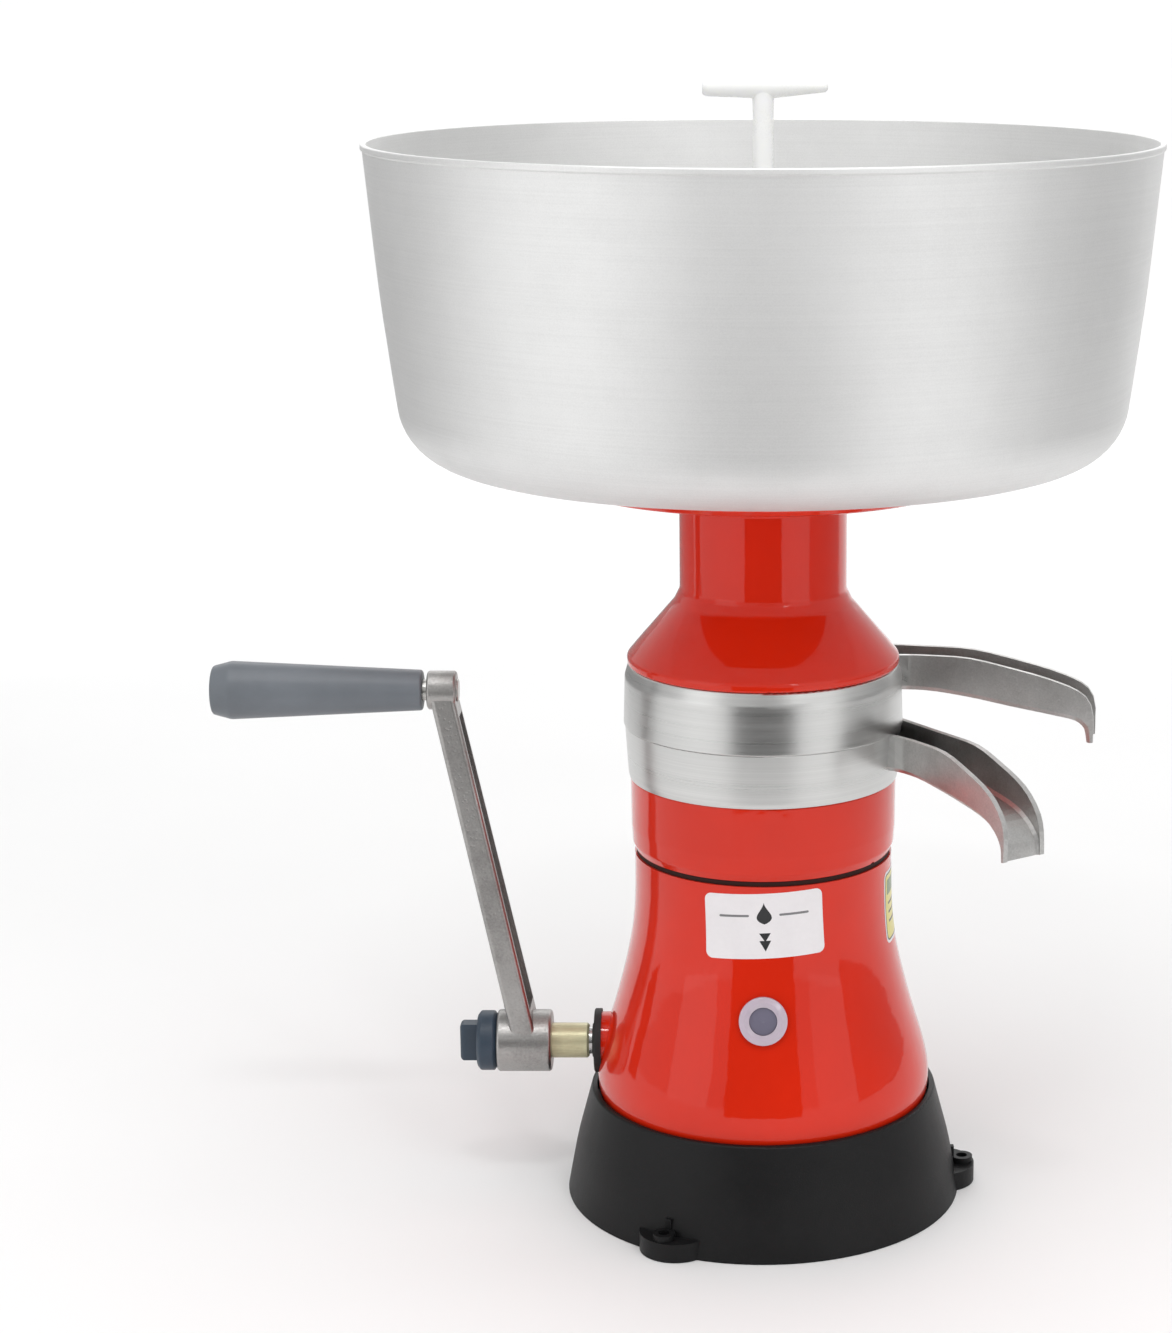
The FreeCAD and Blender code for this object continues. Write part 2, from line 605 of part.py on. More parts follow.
keep(screws("sump_screw_set", [(screw_ring, a) for a in SUMP_SCREWS], 1.6, 3.2, 12.0, 2.2, plate_base),
     "sump_screws")
keep(screws("stand_screw_set", [(77.2, a) for a in SHELF_SCREWS], 2.0, 3.4, 9.5, 2.6,
            shelf - N["stand_wall"]), "stand_screws")
keep(screws("frame_screw_set", [(64.0, a) for a in PAD_ANGLES], 2.0, 3.8, 12.0, 2.6, N["frame_height"]),
     "frame_screws")
keep(screws("casing_screw_set", [(45.0, a) for a in CASING_SCREWS], 2.0, 3.8, 14.5, 2.4, N["casing_floor"],
            up=False), "casing_screws")

# ---- bearings and bushes of the housing --------------------------------------------------------------


def ring(label, inner, outer, base, height, place=None):
    return turned(label, [(inner, base), (outer, base), (outer, base + height), (inner, base + height)], place)


def ball_bearing(label, inner, outer, base, height):
    """Two races and a row of balls as one node."""
    gap = (outer.value - inner.value) / 3.2
    inner_race = ring(label + "_inner", inner, inner + gap, base, height)
    outer_race = ring(label + "_outer", outer - gap, outer, base, height)
    middle = (inner.value + outer.value) / 2
    ball = (outer.value - inner.value - 2 * gap) / 2 + 0.45
    balls = []
    for i in range(8):
        sphere = doc.addObject("Part::Sphere", f"{label}_ball_{i}")
        sphere.Radius = ball
        sphere.Placement.Base = polar(middle, 45.0 * i + 22.5, base.value + height.value / 2)
        balls.append(sphere)
    return fused(label, [inner_race, outer_race] + balls)


keep(ball_bearing("lower_ball_bearing", D["journal_radius"] + D["running_gap"], D["lower_bearing_radius"],
                  D["lower_bearing_base"], D["lower_bearing_width"]), "lower_bearing")
keep(ball_bearing("upper_ball_bearing", D["spindle_radius"] + D["running_gap"], D["upper_bearing_radius"],
                  D["upper_bearing_base"], D["upper_bearing_width"]), "upper_bearing")
keep(turned("damper", [
    (D["upper_bearing_radius"], D["upper_bearing_base"]), (D["damper_radius"], D["upper_bearing_base"]),
    (D["damper_radius"], D["upper_bearing_base"] + 8.0), (D["damper_radius"] - 2.0, D["upper_bearing_base"] + 9.5),
    (D["upper_bearing_radius"], D["upper_bearing_base"] + 8.5)]), "damper_ring")
keep(ring("seal", D["spindle_radius"] + D["running_gap"], term(8.0), term(158.5), term(5.5)), "oil_seal")
keep(ring("main_bush", D["crankshaft_radius"] + D["running_gap"], D["bush_radius"], term(50.0), term(28.5),
          outward()), "shaft_bush")
keep(turned("seal_flange", [
    (D["crankshaft_radius"] + 0.8, D["flange_seat"]), (D["flange_radius"], D["flange_seat"]),
    (D["flange_radius"], D["flange_face"], 0.8), (D["crankshaft_radius"] + 3.0, D["flange_face"]),
    (D["crankshaft_radius"] + 2.0, D["flange_face"] + 1.0), (D["crankshaft_radius"] + 0.8, D["flange_face"] + 1.0),
], outward()), "shaft_flange")

# ---- gear frame --------------------------------------------------------------------------------------
lay_y, lay_z = N["layshaft_offset"], N["layshaft_height"]
frame_disc = rod("frame_disc", D["frame_radius"], D["frame_thickness"], V(0, 0, N["frame_height"]))
frame_limit = block("frame_limit", (100.0, 110.0, 60.0), V(-N["pillar_outer"], -55, 60))
frame_web = doc.addObject("Part::Common", "frame_web")
frame_web.Base = frame_disc
frame_web.Tool = frame_limit
pillar_width = D["pillar_outer"] - D["pillar_inner"]
left_pillar = block("left_pillar", (pillar_width, 52.0, 65.0), V(-N["pillar_outer"], -13.0, 60.0))
right_pillar = block("right_pillar", (pillar_width, 22.0, 50.0), V(N["pillar_inner"], lay_y - 11.0, 76.0))
thrust_boss = rod("thrust_boss", D["lower_bearing_radius"] + 3.0, 16.0, V(0, 0, 74.0))
frame_solid = fused("frame_solid", [frame_web, left_pillar, right_pillar, thrust_boss])
frame_tools = [
    rod("thrust_bore", D["lower_bearing_radius"], 20.0, V(0, 0, N["lower_bearing_base"])),
    rod("spindle_relief", D["journal_radius"] + 1.0, 20.0, V(0, 0, 79.0)),
    rod("inner_bush_bore", D["bush_radius"], 12.0, V(-30, 0, N["crank_height"]), V(1, 0, 0)),
    rod("lay_bore", D["layshaft_bush_radius"], 70.0, V(-35, lay_y, lay_z), V(1, 0, 0)),
    block("wheel_relief", (12.0, 60.0, 20.0), V(-6.0, 13.5, 70.0)),
]
frame_tools += [rod(f"frame_hole_{i}", 2.0, 20.0, polar(64.0, a, 70.0)) for i, a in enumerate(PAD_ANGLES)]
keep(cut("frame", frame_solid, frame_tools), "gear_frame")
keep(ring("end_bush", D["crankshaft_radius"] + D["running_gap"], D["bush_radius"], D["pillar_inner"], pillar_width,
          outward()), "crankshaft_inner_bush")
ALONG_X = ROT(V(0, 1, 0), 90)


def lay_place(x):
    return PLACE(V(x, lay_y, lay_z), ALONG_X)


for side, x in (("left", -N["pillar_outer"]), ("right", N["pillar_inner"])):
    keep(ring(f"lay_bush_{side}", D["layshaft_radius"] + D["running_gap"], D["layshaft_bush_radius"], term(0),
              pillar_width, lay_place(x)), f"layshaft_bush_{side}")

# ---- oil plug ----------------------------------------------------------------------------------------
oil_place = PLACE(oil_start, ROT(V(0, 0, 1), oil_axis))
keep(turned("oil_ring", [
    (D["oil_lens_radius"], 0), (9.0, 0), (9.0, 8.2), (D["oil_ring_radius"], 8.2),
    (D["oil_ring_radius"], 10.2, 0.9), (D["oil_lens_radius"] + 2.2, 11.0, 0.6), (D["oil_lens_radius"], 10.4),
], oil_place), "oil_plug")
keep(turned("oil_glass", [
    (0, 5.0), (D["oil_lens_radius"], 5.0), (D["oil_lens_radius"], 9.6, 0.4), (0, 9.9),
], oil_place), "oil_lens")

# ---- crank -------------------------------------------------------------------------------------------
keep(turned("main_shaft", [
    (0, 19.0), (D["crankshaft_radius"], 19.0, 0.6), (D["crankshaft_radius"], D["flange_seat"]),
    (D["crankshaft_radius"] + 0.75, D["flange_seat"]), (D["crankshaft_radius"] + 0.75, 84.6),
    (D["crankshaft_radius"], 84.6), (D["crankshaft_radius"], D["hub_outer"] - 1.0), (4.0, D["hub_outer"] - 1.0),
    (4.0, D["hub_outer"] + 5.0), (0, D["hub_outer"] + 5.0),
], outward()), "crankshaft")
keep(turned("sleeve", [
    (D["crankshaft_radius"], 84.6), (D["sleeve_radius"] - 0.8, 84.6), (D["sleeve_radius"], 85.6),
    (D["sleeve_radius"], D["hub_inner"]), (D["crankshaft_radius"], D["hub_inner"]),
], outward()), "shaft_sleeve")

# The arm is a tapered bar that leans outward from the hub to the grip boss, hollowed on its inner side.
arm_rise = N["crank_throw"]
arm_foot = (N["hub_inner"] + N["hub_outer"]) / 2 - 1.4
arm_head = (N["boss_inner"] + N["boss_outer"]) / 2
arm_length = math.hypot(arm_rise, arm_head - arm_foot)
arm_lean = math.degrees(math.atan2(arm_head - arm_foot, arm_rise))


def arm_blade(foot_half, head_half, start, end, low, high):
    """A tapered blade in the arm's own frame: X through it, Y across, Z along it."""
    wire = Part.makePolygon([
        V(low, -foot_half, start), V(low, -head_half, end), V(low, head_half, end), V(low, foot_half, start),
        V(low, -foot_half, start)])
    return Part.Face(wire).extrude(V(high - low, 0, 0))


half = N["arm_thickness"] / 2
blade = arm_blade(13.0, 8.6, 0, arm_length, -half, half)
blade = blade.makeFillet(2.2, [e for e in blade.Edges if abs(e.Vertexes[0].X - e.Vertexes[1].X) < 1e-6
                               and e.Length > 100])
blade = blade.cut(arm_blade(9.4, 5.6, 18, arm_length - 13, 0.4, half + 5))
arm_place = PLACE(V(-arm_foot, 0, N["crank_height"]), ROT(V(0, 1, 0), -arm_lean))
blade.Placement = arm_place
hub = Part.makeCylinder(N["hub_radius"], N["hub_outer"] - N["hub_inner"],
                        V(-N["hub_outer"], 0, N["crank_height"]), V(1, 0, 0))
boss = Part.makeCylinder(N["boss_radius"], N["boss_outer"] - N["boss_inner"],
                         V(-N["boss_outer"], 0, N["crank_height"] + arm_rise), V(1, 0, 0))
hub = hub.makeFillet(1.6, hub.Edges[:1] + hub.Edges[2:3])
boss = boss.makeFillet(1.2, boss.Edges[:1] + boss.Edges[2:3])
keep_out = Part.makeCylinder(60, 40, V(-N["hub_inner"], 0, N["crank_height"]), V(1, 0, 0))
arm = blade.cut(keep_out).fuse([hub, boss])
arm = arm.cut(Part.makeCylinder(N["crankshaft_radius"], 60, V(-160, 0, N["crank_height"]), V(1, 0, 0)))
arm = arm.cut(Part.makeCylinder(N["grip_pin_radius"], 60, V(-180, 0, N["crank_height"] + arm_rise), V(1, 0, 0)))
keep(shaped("arm", arm.removeSplitter()), "crank_arm")

grip_place = PLACE(V(0, 0, N["crank_height"] + arm_rise), ROT(V(0, 1, 0), -90))
pin_r = D["grip_pin_radius"]
keep(turned("pin", [
    (0, D["boss_inner"] - 1.0), (pin_r + 1.4, D["boss_inner"] - 1.0, 0.6), (pin_r + 1.4, D["boss_inner"]),
    (pin_r, D["boss_inner"]), (pin_r, D["boss_outer"]), (pin_r + 1.0, D["boss_outer"]),
    (pin_r + 1.0, D["grip_start"] - 0.1), (pin_r, D["grip_start"] - 0.1), (pin_r, D["grip_end"] - 10.0),
    (0, D["grip_end"] - 10.0)], grip_place), "grip_pin")
keep(turned("handle", [
    (pin_r + D["running_gap"], D["grip_start"]), (D["grip_small_radius"], D["grip_start"], 1.2),
    (D["grip_big_radius"], D["grip_end"] - 9.0, 6.0), (D["grip_big_radius"] - 2.4, D["grip_end"], 1.6),
    (0, D["grip_end"]), (0, D["grip_end"] - 9.5), (pin_r + D["running_gap"], D["grip_end"] - 9.5),
], grip_place), "grip")

knob_disc = turned("knob_disc", [
    (4.05, D["hub_outer"]), (12.6, D["hub_outer"]), (14.5, D["hub_outer"] + 1.6, 0.8),
    (14.5, D["hub_outer"] + 8.0, 1.4), (12.5, D["hub_outer"] + 9.6, 1.0), (0, D["hub_outer"] + 9.6),
    (0, D["hub_outer"] + 5.2), (4.05, D["hub_outer"] + 5.2),
], outward())
wing_shape = Part.makeBox(9.5, 7.0, 18.4, V(-N["hub_outer"] - 18.3, -3.5, N["crank_height"] - 9.2))
wing_shape = wing_shape.makeFillet(2.0, [e for e in wing_shape.Edges if e.BoundBox.XMax < -N["hub_outer"] - 18.2])
knob_wing = shaped("knob_wing", wing_shape)
keep(fused("knob", [knob_disc, knob_wing]), "thumb_screw")

# ---- gears -------------------------------------------------------------------------------------------
module = N["gear_module"]
crank_teeth, pinion_teeth, wheel_teeth = (int(N[k]) for k in ("crank_teeth", "pinion_teeth", "wheel_teeth"))
BACKLASH = 0.25
gear_x, gear_w = -(N["gear_inner"] + N["gear_width"]), N["gear_width"]
mesh_angle = math.degrees(math.atan2(lay_z - N["crank_height"], lay_y))


def x_axis_place(x, y, z):
    """Local X, Y, Z go to world Y, Z, X."""
    return PLACE(V(x, y, z), ROT(V(0, 1, 0), V(0, 0, 1), V(1, 0, 0), "XYZ"))


blank = Part.Face(gear_wire(crank_teeth, module, BACKLASH, 0, mesh_angle)).extrude(V(0, 0, gear_w))
for base in (0, gear_w / 2 + 1.5):
    recess = Part.makeCylinder(40, gear_w / 2 - 1.5, V(0, 0, base))
    blank = blank.cut(recess.cut(Part.makeCylinder(18, gear_w, V(0, 0, 0))))
for i in range(5):
    blank = blank.cut(Part.makeCylinder(6.5, gear_w, polar(29, 72 * i + 10)))
blank = blank.cut(Part.makeCylinder(12, gear_w))
crank_gear = shaped("crank_wheel", blank)
crank_gear.Placement = x_axis_place(gear_x, 0, N["crank_height"])
keep(crank_gear, "crank_gear")

hub_core = Part.makeCylinder(12, 12).cut(Part.makeCylinder(N["crankshaft_radius"], 12))
for i in range(3):
    pocket = Part.makeCylinder(2.6, 8, polar(9.6, 120 * i, 2))
    ramp = Part.makeBox(5.0, 2.6, 8, V(9.6, -2.6, 2))
    ramp.rotate(V(0, 0, 0), V(0, 0, 1), 120 * i)
    hub_core = hub_core.cut(pocket).cut(ramp)
clutch = shaped("clutch_hub", hub_core)
clutch.Placement = x_axis_place(gear_x - 2, 0, N["crank_height"])
keep(clutch, "freewheel_hub")
rollers = shaped("rollers", Part.makeCompound([
    Part.makeCylinder(2.4, 7.8, polar(9.5, 120 * i, 2.1)) for i in range(3)]))
rollers.Placement = x_axis_place(gear_x - 2, 0, N["crank_height"])
keep(rollers, "freewheel_rollers")

lay = D["layshaft_radius"]
keep(turned("lay_shaft", [
    (0, 0), (lay, 0, 0.5), (lay, 32.0), (lay + 1.5, 32.0), (lay + 1.5, 36.0), (lay, 36.0), (lay, 72.0, 0.5), (0, 72.0),
], lay_place(-43.0)), "layshaft")

# A tooth of the crank gear points at the pinion, so the pinion shows it a gap.
pinion_turn = mesh_angle + 180.0 + 180.0 / pinion_teeth
pinion = Part.Face(gear_wire(pinion_teeth, module, BACKLASH, 0, pinion_turn)).extrude(V(0, 0, 10))
pinion = pinion.cut(Part.makeCylinder(N["layshaft_radius"], 10))
pinion = shaped("pinion_gear", pinion)
pinion.Placement = x_axis_place(gear_x - 1, lay_y, lay_z)
keep(pinion, "pinion")

worm_r = N["worm_radius"]
lead = math.pi * module * N["worm_starts"]
lead_angle = math.degrees(math.atan2(lead, 2 * math.pi * worm_r))
WHEEL_WIDTH = 8.0
wheel_twist = math.degrees(WHEEL_WIDTH * math.tan(math.radians(lead_angle)) / (wheel_teeth * module / 2))
wheel_pitch = 360.0 / wheel_teeth
slices = [
    gear_wire(wheel_teeth, module, BACKLASH + 0.2, z, 180.0 + wheel_pitch / 2 + wheel_twist * z / WHEEL_WIDTH)
    for z in (-WHEEL_WIDTH / 2, WHEEL_WIDTH / 2)
]
flanks = [Part.makeRuledSurface(a, b) for a, b in zip(slices[0].Edges, slices[1].Edges)]
wheel_skin = Part.makeShell(flanks + [Part.Face(s) for s in slices])
wheel_skin.sewShape()
wheel = Part.makeSolid(wheel_skin)
if wheel.Volume < 0:
    wheel.reverse()
wheel = wheel.fuse(Part.makeCylinder(9, 14, V(0, 0, -7)).cut(Part.makeCylinder(8, 8, V(0, 0, -4))))
wheel = wheel.cut(Part.makeCylinder(N["layshaft_radius"], 20, V(0, 0, -10)))
wheel = shaped("bronze_wheel", wheel)
wheel.Placement = x_axis_place(0, lay_y, lay_z)
keep(wheel, "worm_wheel")

# ---- spindle with its two-start worm -----------------------------------------------------------------
rs, rj = N["spindle_radius"], N["journal_radius"]
core_points = [
    (0, 80.0), (rj - 0.5, 80.0), (rj, 80.5), (rj, 101.0), (3.3, 102.0), (3.3, 131.0), (rs, 133.0), (rs, 150.0),
    (rs + 2, 150.0), (rs + 2, 154.0), (rs, 154.0), (rs, 175.2), (rs + 1.6, 175.2), (rs + 1.6, 178.0),
    (rs, 178.0), (rs, 183.0), (3.8, 205.0), (3.0, 205.0), (3.0, 208.0), (0, 208.0),
]
spindle_core = revolve_wire(chain([(r, 0, z) for r, z in core_points + core_points[:1]]))
worm_turns = 26.0 / lead
threads = []
for start in range(int(N["worm_starts"])):
    helix = Part.makeHelix(lead, 26.0, 3.2)
    section = Part.makePolygon([
        V(3.1, 0, -0.98), V(5.45, 0, -0.38), V(5.45, 0, 0.38), V(3.1, 0, 0.98), V(3.1, 0, -0.98)])
    sweep = Part.Wire(helix.Edges).makePipeShell([section], True, True)
    sweep.rotate(V(0, 0, 0), V(0, 0, 1), 360.0 / N["worm_starts"] * start)
    sweep.translate(V(0, 0, lay_z - 13.0))
    threads.append(sweep)
half_turns = 13.0 / lead * 360.0
for thread in threads:
    thread.rotate(V(0, 0, 0), V(0, 0, 1), 90.0 - half_turns)
keep(shaped("spindle_worm", spindle_core.fuse(threads)), "worm_spindle")

# ---- separating drum ---------------------------------------------------------------------------------
drum_r, low, joint = D["drum_radius"], D["drum_bottom"], D["drum_joint"]
drum_bowl = turned("drum_bowl", [
    (5.05, 184.0), (12.0, 184.0), (12.0, low), (drum_r - 4.0, low, 2.0), (drum_r, low + 5.0, 2.0), (drum_r, joint),
    (drum_r - 3.0, joint), (drum_r - 3.0, joint - 2.0), (drum_r - 4.5, joint - 2.0), (drum_r - 4.5, low + 5.0, 1.5),
    (drum_r - 7.0, low + 3.0), (9.0, low + 3.0), (9.0, 236.0), (7.5, 236.0), (7.5, 262.0), (5.6, 262.0),
    (5.6, 212.0), (3.9, 210.0), (3.9, 205.0),
])
inlets = [
    rod(f"inlet_{i}", 1.8, 12.0, V(0, 0, 215.0), polar(1, 60.0 + 120.0 * i)) for i in range(3)
]
keep(cut("drum_bowl_drilled", drum_bowl, inlets), "drum_base")
slope, thick, pitch = N["disc_slope"], N["disc_thickness"], N["disc_pitch"]


def cone_disc(label, inner, outer, foot, thickness):
    """A conical disc, its foot at the outer edge."""
    rise = (outer - inner) * D["disc_slope"]
    return turned(label, [
        (outer, foot), (outer, foot + thickness), (inner, foot + rise + thickness), (inner, foot + rise)])


holder_cone = cone_disc("holder_cone", term(9.0), D["disc_outer"] + 1.0, D["drum_bottom"] + 4.0, term(1.0))
holder_tube = ring("holder_tube", term(9.0), term(12.5), term(205.5), term(18.5))
keep(fused("holder", [holder_cone, holder_tube]), "disc_holder")
discs = []
for i in range(int(N["disc_count"])):
    foot = D["drum_bottom"] + 5.9 + D["disc_pitch"] * i
    discs.append(cone_disc(f"disc_{i}", D["disc_inner"], D["disc_outer"], foot, D["disc_thickness"]))
stack = doc.addObject("Part::Compound", "stack")
stack.Links = discs
keep(stack, "separating_discs")
top_foot = D["drum_bottom"] + 16.8
top_cone = cone_disc("top_cone", term(10.4), D["disc_outer"] + 1.5, top_foot, term(0.8))
top_tube = ring("top_tube", term(10.4), term(11.4), term(226.6), term(16.4))
keep(fused("top_disc_body", [top_cone, top_tube]), "top_disc")
neck = D["drum_neck_radius"]
drum_lid = turned("drum_lid", [
    (drum_r - 3.5, joint), (drum_r, joint), (drum_r, joint + 3.0, 1.5), (neck, joint + 26.0, 2.0), (neck, 241.0, 0.8),
    (12.5, 241.0), (12.5, 257.0, 0.8), (7.5, 257.0), (7.5, 254.0), (11.6, 254.0), (11.6, 238.5), (neck - 2.5, 238.5),
    (neck - 2.5, joint + 24.5), (drum_r - 3.5, joint + 2.0),
])
outlets = [rod("skim_hole", 1.5, 40.0, V(-20, 0, 236.6), V(1, 0, 0)),
           rod("cream_hole", 0.9, 20.0, V(0, 0, 252.6), V(0, 1, 0))]
keep(cut("drum_lid_drilled", drum_lid, outlets), "drum_cover")
keep(ring("lid_seal", drum_r - 4.5, drum_r - 3.0, joint - 2.0, term(2.0)), "drum_seal")
hexagon = doc.addObject("Part::Prism", "nut_hex")
hexagon.Polygon = 6
hexagon.Circumradius = 10.2
hexagon.Height = 6.0
hexagon.Placement.Base = V(0, 0, 257.0)
keep(cut("nut", hexagon, [rod("nut_bore", 7.5, 10.0, V(0, 0, 255.0))]), "drum_nut")

# ---- drum casing -------------------------------------------------------------------------------------
bore = D["casing_bore"]
casing = turned("casing_shell", [
    (57.5, D["housing_top"]), (60.0, D["housing_top"]), (60.0, D["housing_top"] + 2.4),
    (D["casing_low_radius"] - 0.6, D["housing_top"] + 2.6), (D["casing_low_radius"] + 0.9, D["housing_top"] + 6.0, 3.0),
    (D["casing_top_radius"] - 0.2, 186.0), (D["casing_top_radius"], D["casing_top"], 0.8), (bore, D["casing_top"]),
    (bore, D["casing_floor"], 3.0), (21.0, D["casing_floor"]), (21.0, D["neck_boss_top"]), (57.5, D["neck_boss_top"]),
])
drains = [rod(f"casing_hole_{i}", 2.0, 20.0, polar(45.0, a, 170.0)) for i, a in enumerate(CASING_SCREWS)]
drains.append(rod("drain_notch", 1.9, 14.0, polar(52.0, -33.0, N["housing_top"] + 1.6), polar(1, -33.0)))
keep(cut("casing", casing, drains), "drum_casing")
keep(ring("casing_gasket", term(60.0), D["casing_low_radius"] - 1.1, D["housing_top"], term(2.2)), "casing_seal")

# ---- collectors and their spouts ---------------------------------------------------------------------
reg, seam = D["register_radius"], D["seam_height"]
skim_ring = turned("skim_ring", [
    (bore - 0.06, D["casing_top"] - 3.5), (bore - 0.06, D["casing_top"]), (D["skim_low_radius"] - 0.4, D["casing_top"]),
    (D["skim_low_radius"], D["casing_top"] + 2.0, 1.6), (D["skim_top_radius"], seam, 0.5), (reg, seam),
    (reg, seam + 3.0, 0.4), (reg - 2.0, seam + 3.0), (reg - 2.0, 219.0, 2.0), (27.0, 231.5, 1.0), (27.0, 234.0),
    (25.0, 234.0), (25.0, 229.5), (bore - 2.2, 215.5), (bore - 2.2, D["casing_top"] - 3.5),
])
cream_ring = turned("cream_ring", [
    (reg + 0.05, seam), (D["cream_low_radius"], seam, 0.5), (D["cream_top_radius"], 258.0, 8.0),
    (D["cone_foot_radius"] - 0.6, D["ring_top"], 1.2), (reg - 0.5, D["ring_top"]), (reg - 0.5, D["ring_top"] + 3.0, 0.4),
    (reg - 2.5, D["ring_top"] + 3.0), (reg - 2.5, 245.4, 2.0), (20.0, 245.4, 1.0), (20.0, 250.5), (18.0, 250.5),
    (18.0, 242.8), (reg - 2.5, 242.8), (reg - 2.5, 239.5), (reg + 0.05, 239.5),
])
spout_wall = N["spout_wall"]


def collector(label, ring_body, stations, angle, opening_top, bore_radius):
    """A collector ring with its cast spout and the opening between them."""
    chute = spout(label + "_spout", stations, angle, spout_wall)
    clear = rod(label + "_clear", bore_radius, 60.0, V(0, 0, stations[0][1] - 20.0))
    outside = cut(label + "_outside", chute, [clear])
    body = fused(label + "_body", [ring_body, outside])
    hole = mouth(label + "_mouth", stations, angle, spout_wall, opening_top)
    return cut(label + "_open", body, [hole])


skim_angle, cream_angle = N["skim_spout_angle"], N["cream_spout_angle"]
keep(collector("skim", skim_ring, SKIM_SPOUT, skim_angle, 232.0, reg - 1.0), "skim_collector")
keep(collector("cream", cream_ring, CREAM_SPOUT, cream_angle, 259.0, reg - 1.0), "cream_collector")

# ---- top cover, float chamber and float --------------------------------------------------------------
cw = D["cover_wall"]
keep(turned("cone_cover", [
    (reg - 0.45, D["ring_top"]), (D["cone_foot_radius"], D["ring_top"], 1.0), (D["cone_foot_radius"], 267.6, 3.0),
    (D["cone_low_radius"], D["cone_low_height"], 14.0), (D["cone_high_radius"], D["cone_high_height"], 9.0),
    (D["neck_radius"], 299.5, 6.0), (D["neck_radius"], D["neck_top"] - 5.5, 1.5), (43.4, D["neck_top"] - 1.6, 0.8),
    (43.4, D["neck_top"]), (D["neck_radius"] - cw, D["neck_top"]), (D["neck_radius"] - cw, 298.0),
    (D["cone_high_radius"] - 1.9, 292.4), (D["cone_low_radius"] - 2.2, 273.2), (reg - 0.45, 268.2),
]), "top_cover")
spigot = D["neck_radius"] - cw - 0.05
keep(turned("saucer", [
    (D["feed_radius"], 341.0), (9.0, 341.0), (9.0, 344.8), (spigot - 2.2, 344.8), (spigot - 2.2, 340.0),
    (spigot, 340.0), (spigot, D["neck_top"]), (44.0, D["neck_top"]), (D["saucer_radius"] - 3.0, D["saucer_low"], 3.0),
    (D["saucer_radius"], D["saucer_low"] + 3.0, 2.0), (D["saucer_radius"], D["saucer_top"], 0.6),
    (D["saucer_radius"] - 2.0, D["saucer_top"]), (D["saucer_radius"] - 2.2, D["saucer_low"] + 4.2, 1.5),
    (D["saucer_radius"] - 5.0, D["saucer_low"] + 2.2), (45.0, D["saucer_floor"]), (16.0, D["saucer_floor"]),
    (16.0, D["float_seat"]), (12.0, D["float_seat"]), (12.0, D["saucer_floor"]),
    (D["feed_radius"], D["saucer_floor"]),
]), "float_chamber")
keep(ring("tube", D["feed_bore"], D["feed_radius"], D["feed_end"], D["saucer_floor"] - D["feed_end"]), "feed_tube")

seat, ft = D["float_seat"], D["float_thickness"]
float_disc = turned("float_disc", [
    (0, seat), (D["float_radius"] - 1.0, seat), (D["float_radius"], seat + 1.5, 1.0),
    (D["float_radius"], seat + ft, 1.5), (14.5, seat + ft, 0.8), (14.5, seat + 2.0), (0, seat + 2.0)])
guide_blades = [
    block(f"guide_{i}", (D["feed_bore"] - 0.15, 1.2, 12.0), V(0, -0.6, N["float_seat"] - 12.0), 120.0 * i)
    for i in range(3)
]
keep(fused("float_body", [float_disc] + guide_blades), "float")
keep(rod("float_button", 6.5, 1.8, V(0, 0, N["float_seat"] + 2.0)), "float_plug")

# ---- milk bowl and its plug --------------------------------------------------------------------------
bw, floor = D["bowl_wall"], D["saucer_top"]
keep(turned("bowl", [
    (D["outlet_radius"], floor), (D["bowl_low_radius"], floor, D["bowl_corner"]),
    (D["bowl_mid_radius"], D["bowl_mid_height"], 900.0), (D["bowl_rim_radius"] - 0.9, D["bowl_rim_height"] - 3.2),
    (D["bowl_rim_radius"], D["bowl_rim_height"] - 2.4, 0.5), (D["bowl_rim_radius"], D["bowl_rim_height"], 0.7),
    (D["bowl_rim_radius"] - 2.6, D["bowl_rim_height"], 0.5),
    (D["bowl_mid_radius"] - bw, D["bowl_mid_height"], 898.3),
    (D["bowl_low_radius"] - 1.52, floor + bw, D["bowl_corner"] - bw), (D["outlet_radius"], floor + bw),
]), "milk_bowl")
turret = turned("turret", [
    (5.0, floor - 4.0), (D["outlet_radius"], floor - 4.0), (D["outlet_radius"], floor + bw), (16.0, floor + bw, 0.5),
    (16.0, floor + bw + 2.2, 0.8), (D["turret_radius"], floor + bw + 3.0), (D["turret_radius"], D["turret_top"], 1.0),
    (5.0, D["turret_top"]),
])
keep(cut("turret_drilled", turret, [rod("turret_port", 2.8, 20.0, V(0, 0, N["port_height"]), V(0, -1, 0))]),
     "outlet_turret")
seat_nut = doc.addObject("Part::Prism", "seat_nut_hex")
seat_nut.Polygon = 6
seat_nut.Circumradius = 13.4
bind(seat_nut, "Height", 3.2)
seat_nut.Placement.Base = V(0, 0, N["saucer_top"] - 3.2)
keep(cut("seat_nut", seat_nut, [rod("seat_nut_bore", D["outlet_radius"], 10.0, V(0, 0, 355.0))]), "outlet_nut")
stem = turned("stem", [
    (3.0, 359.0), (D["plug_radius"], 359.0, 0.4), (D["plug_radius"], D["turret_top"]), (7.0, D["turret_top"]),
    (7.0, D["turret_top"] + 2.5, 0.8), (D["stem_radius"], D["turret_top"] + 4.5, 1.0),
    (D["stem_radius"], D["handle_height"]), (0, D["handle_height"]), (0, 374.5), (3.0, 374.5),
])
left, right = D["handle_left"], D["handle_right"]
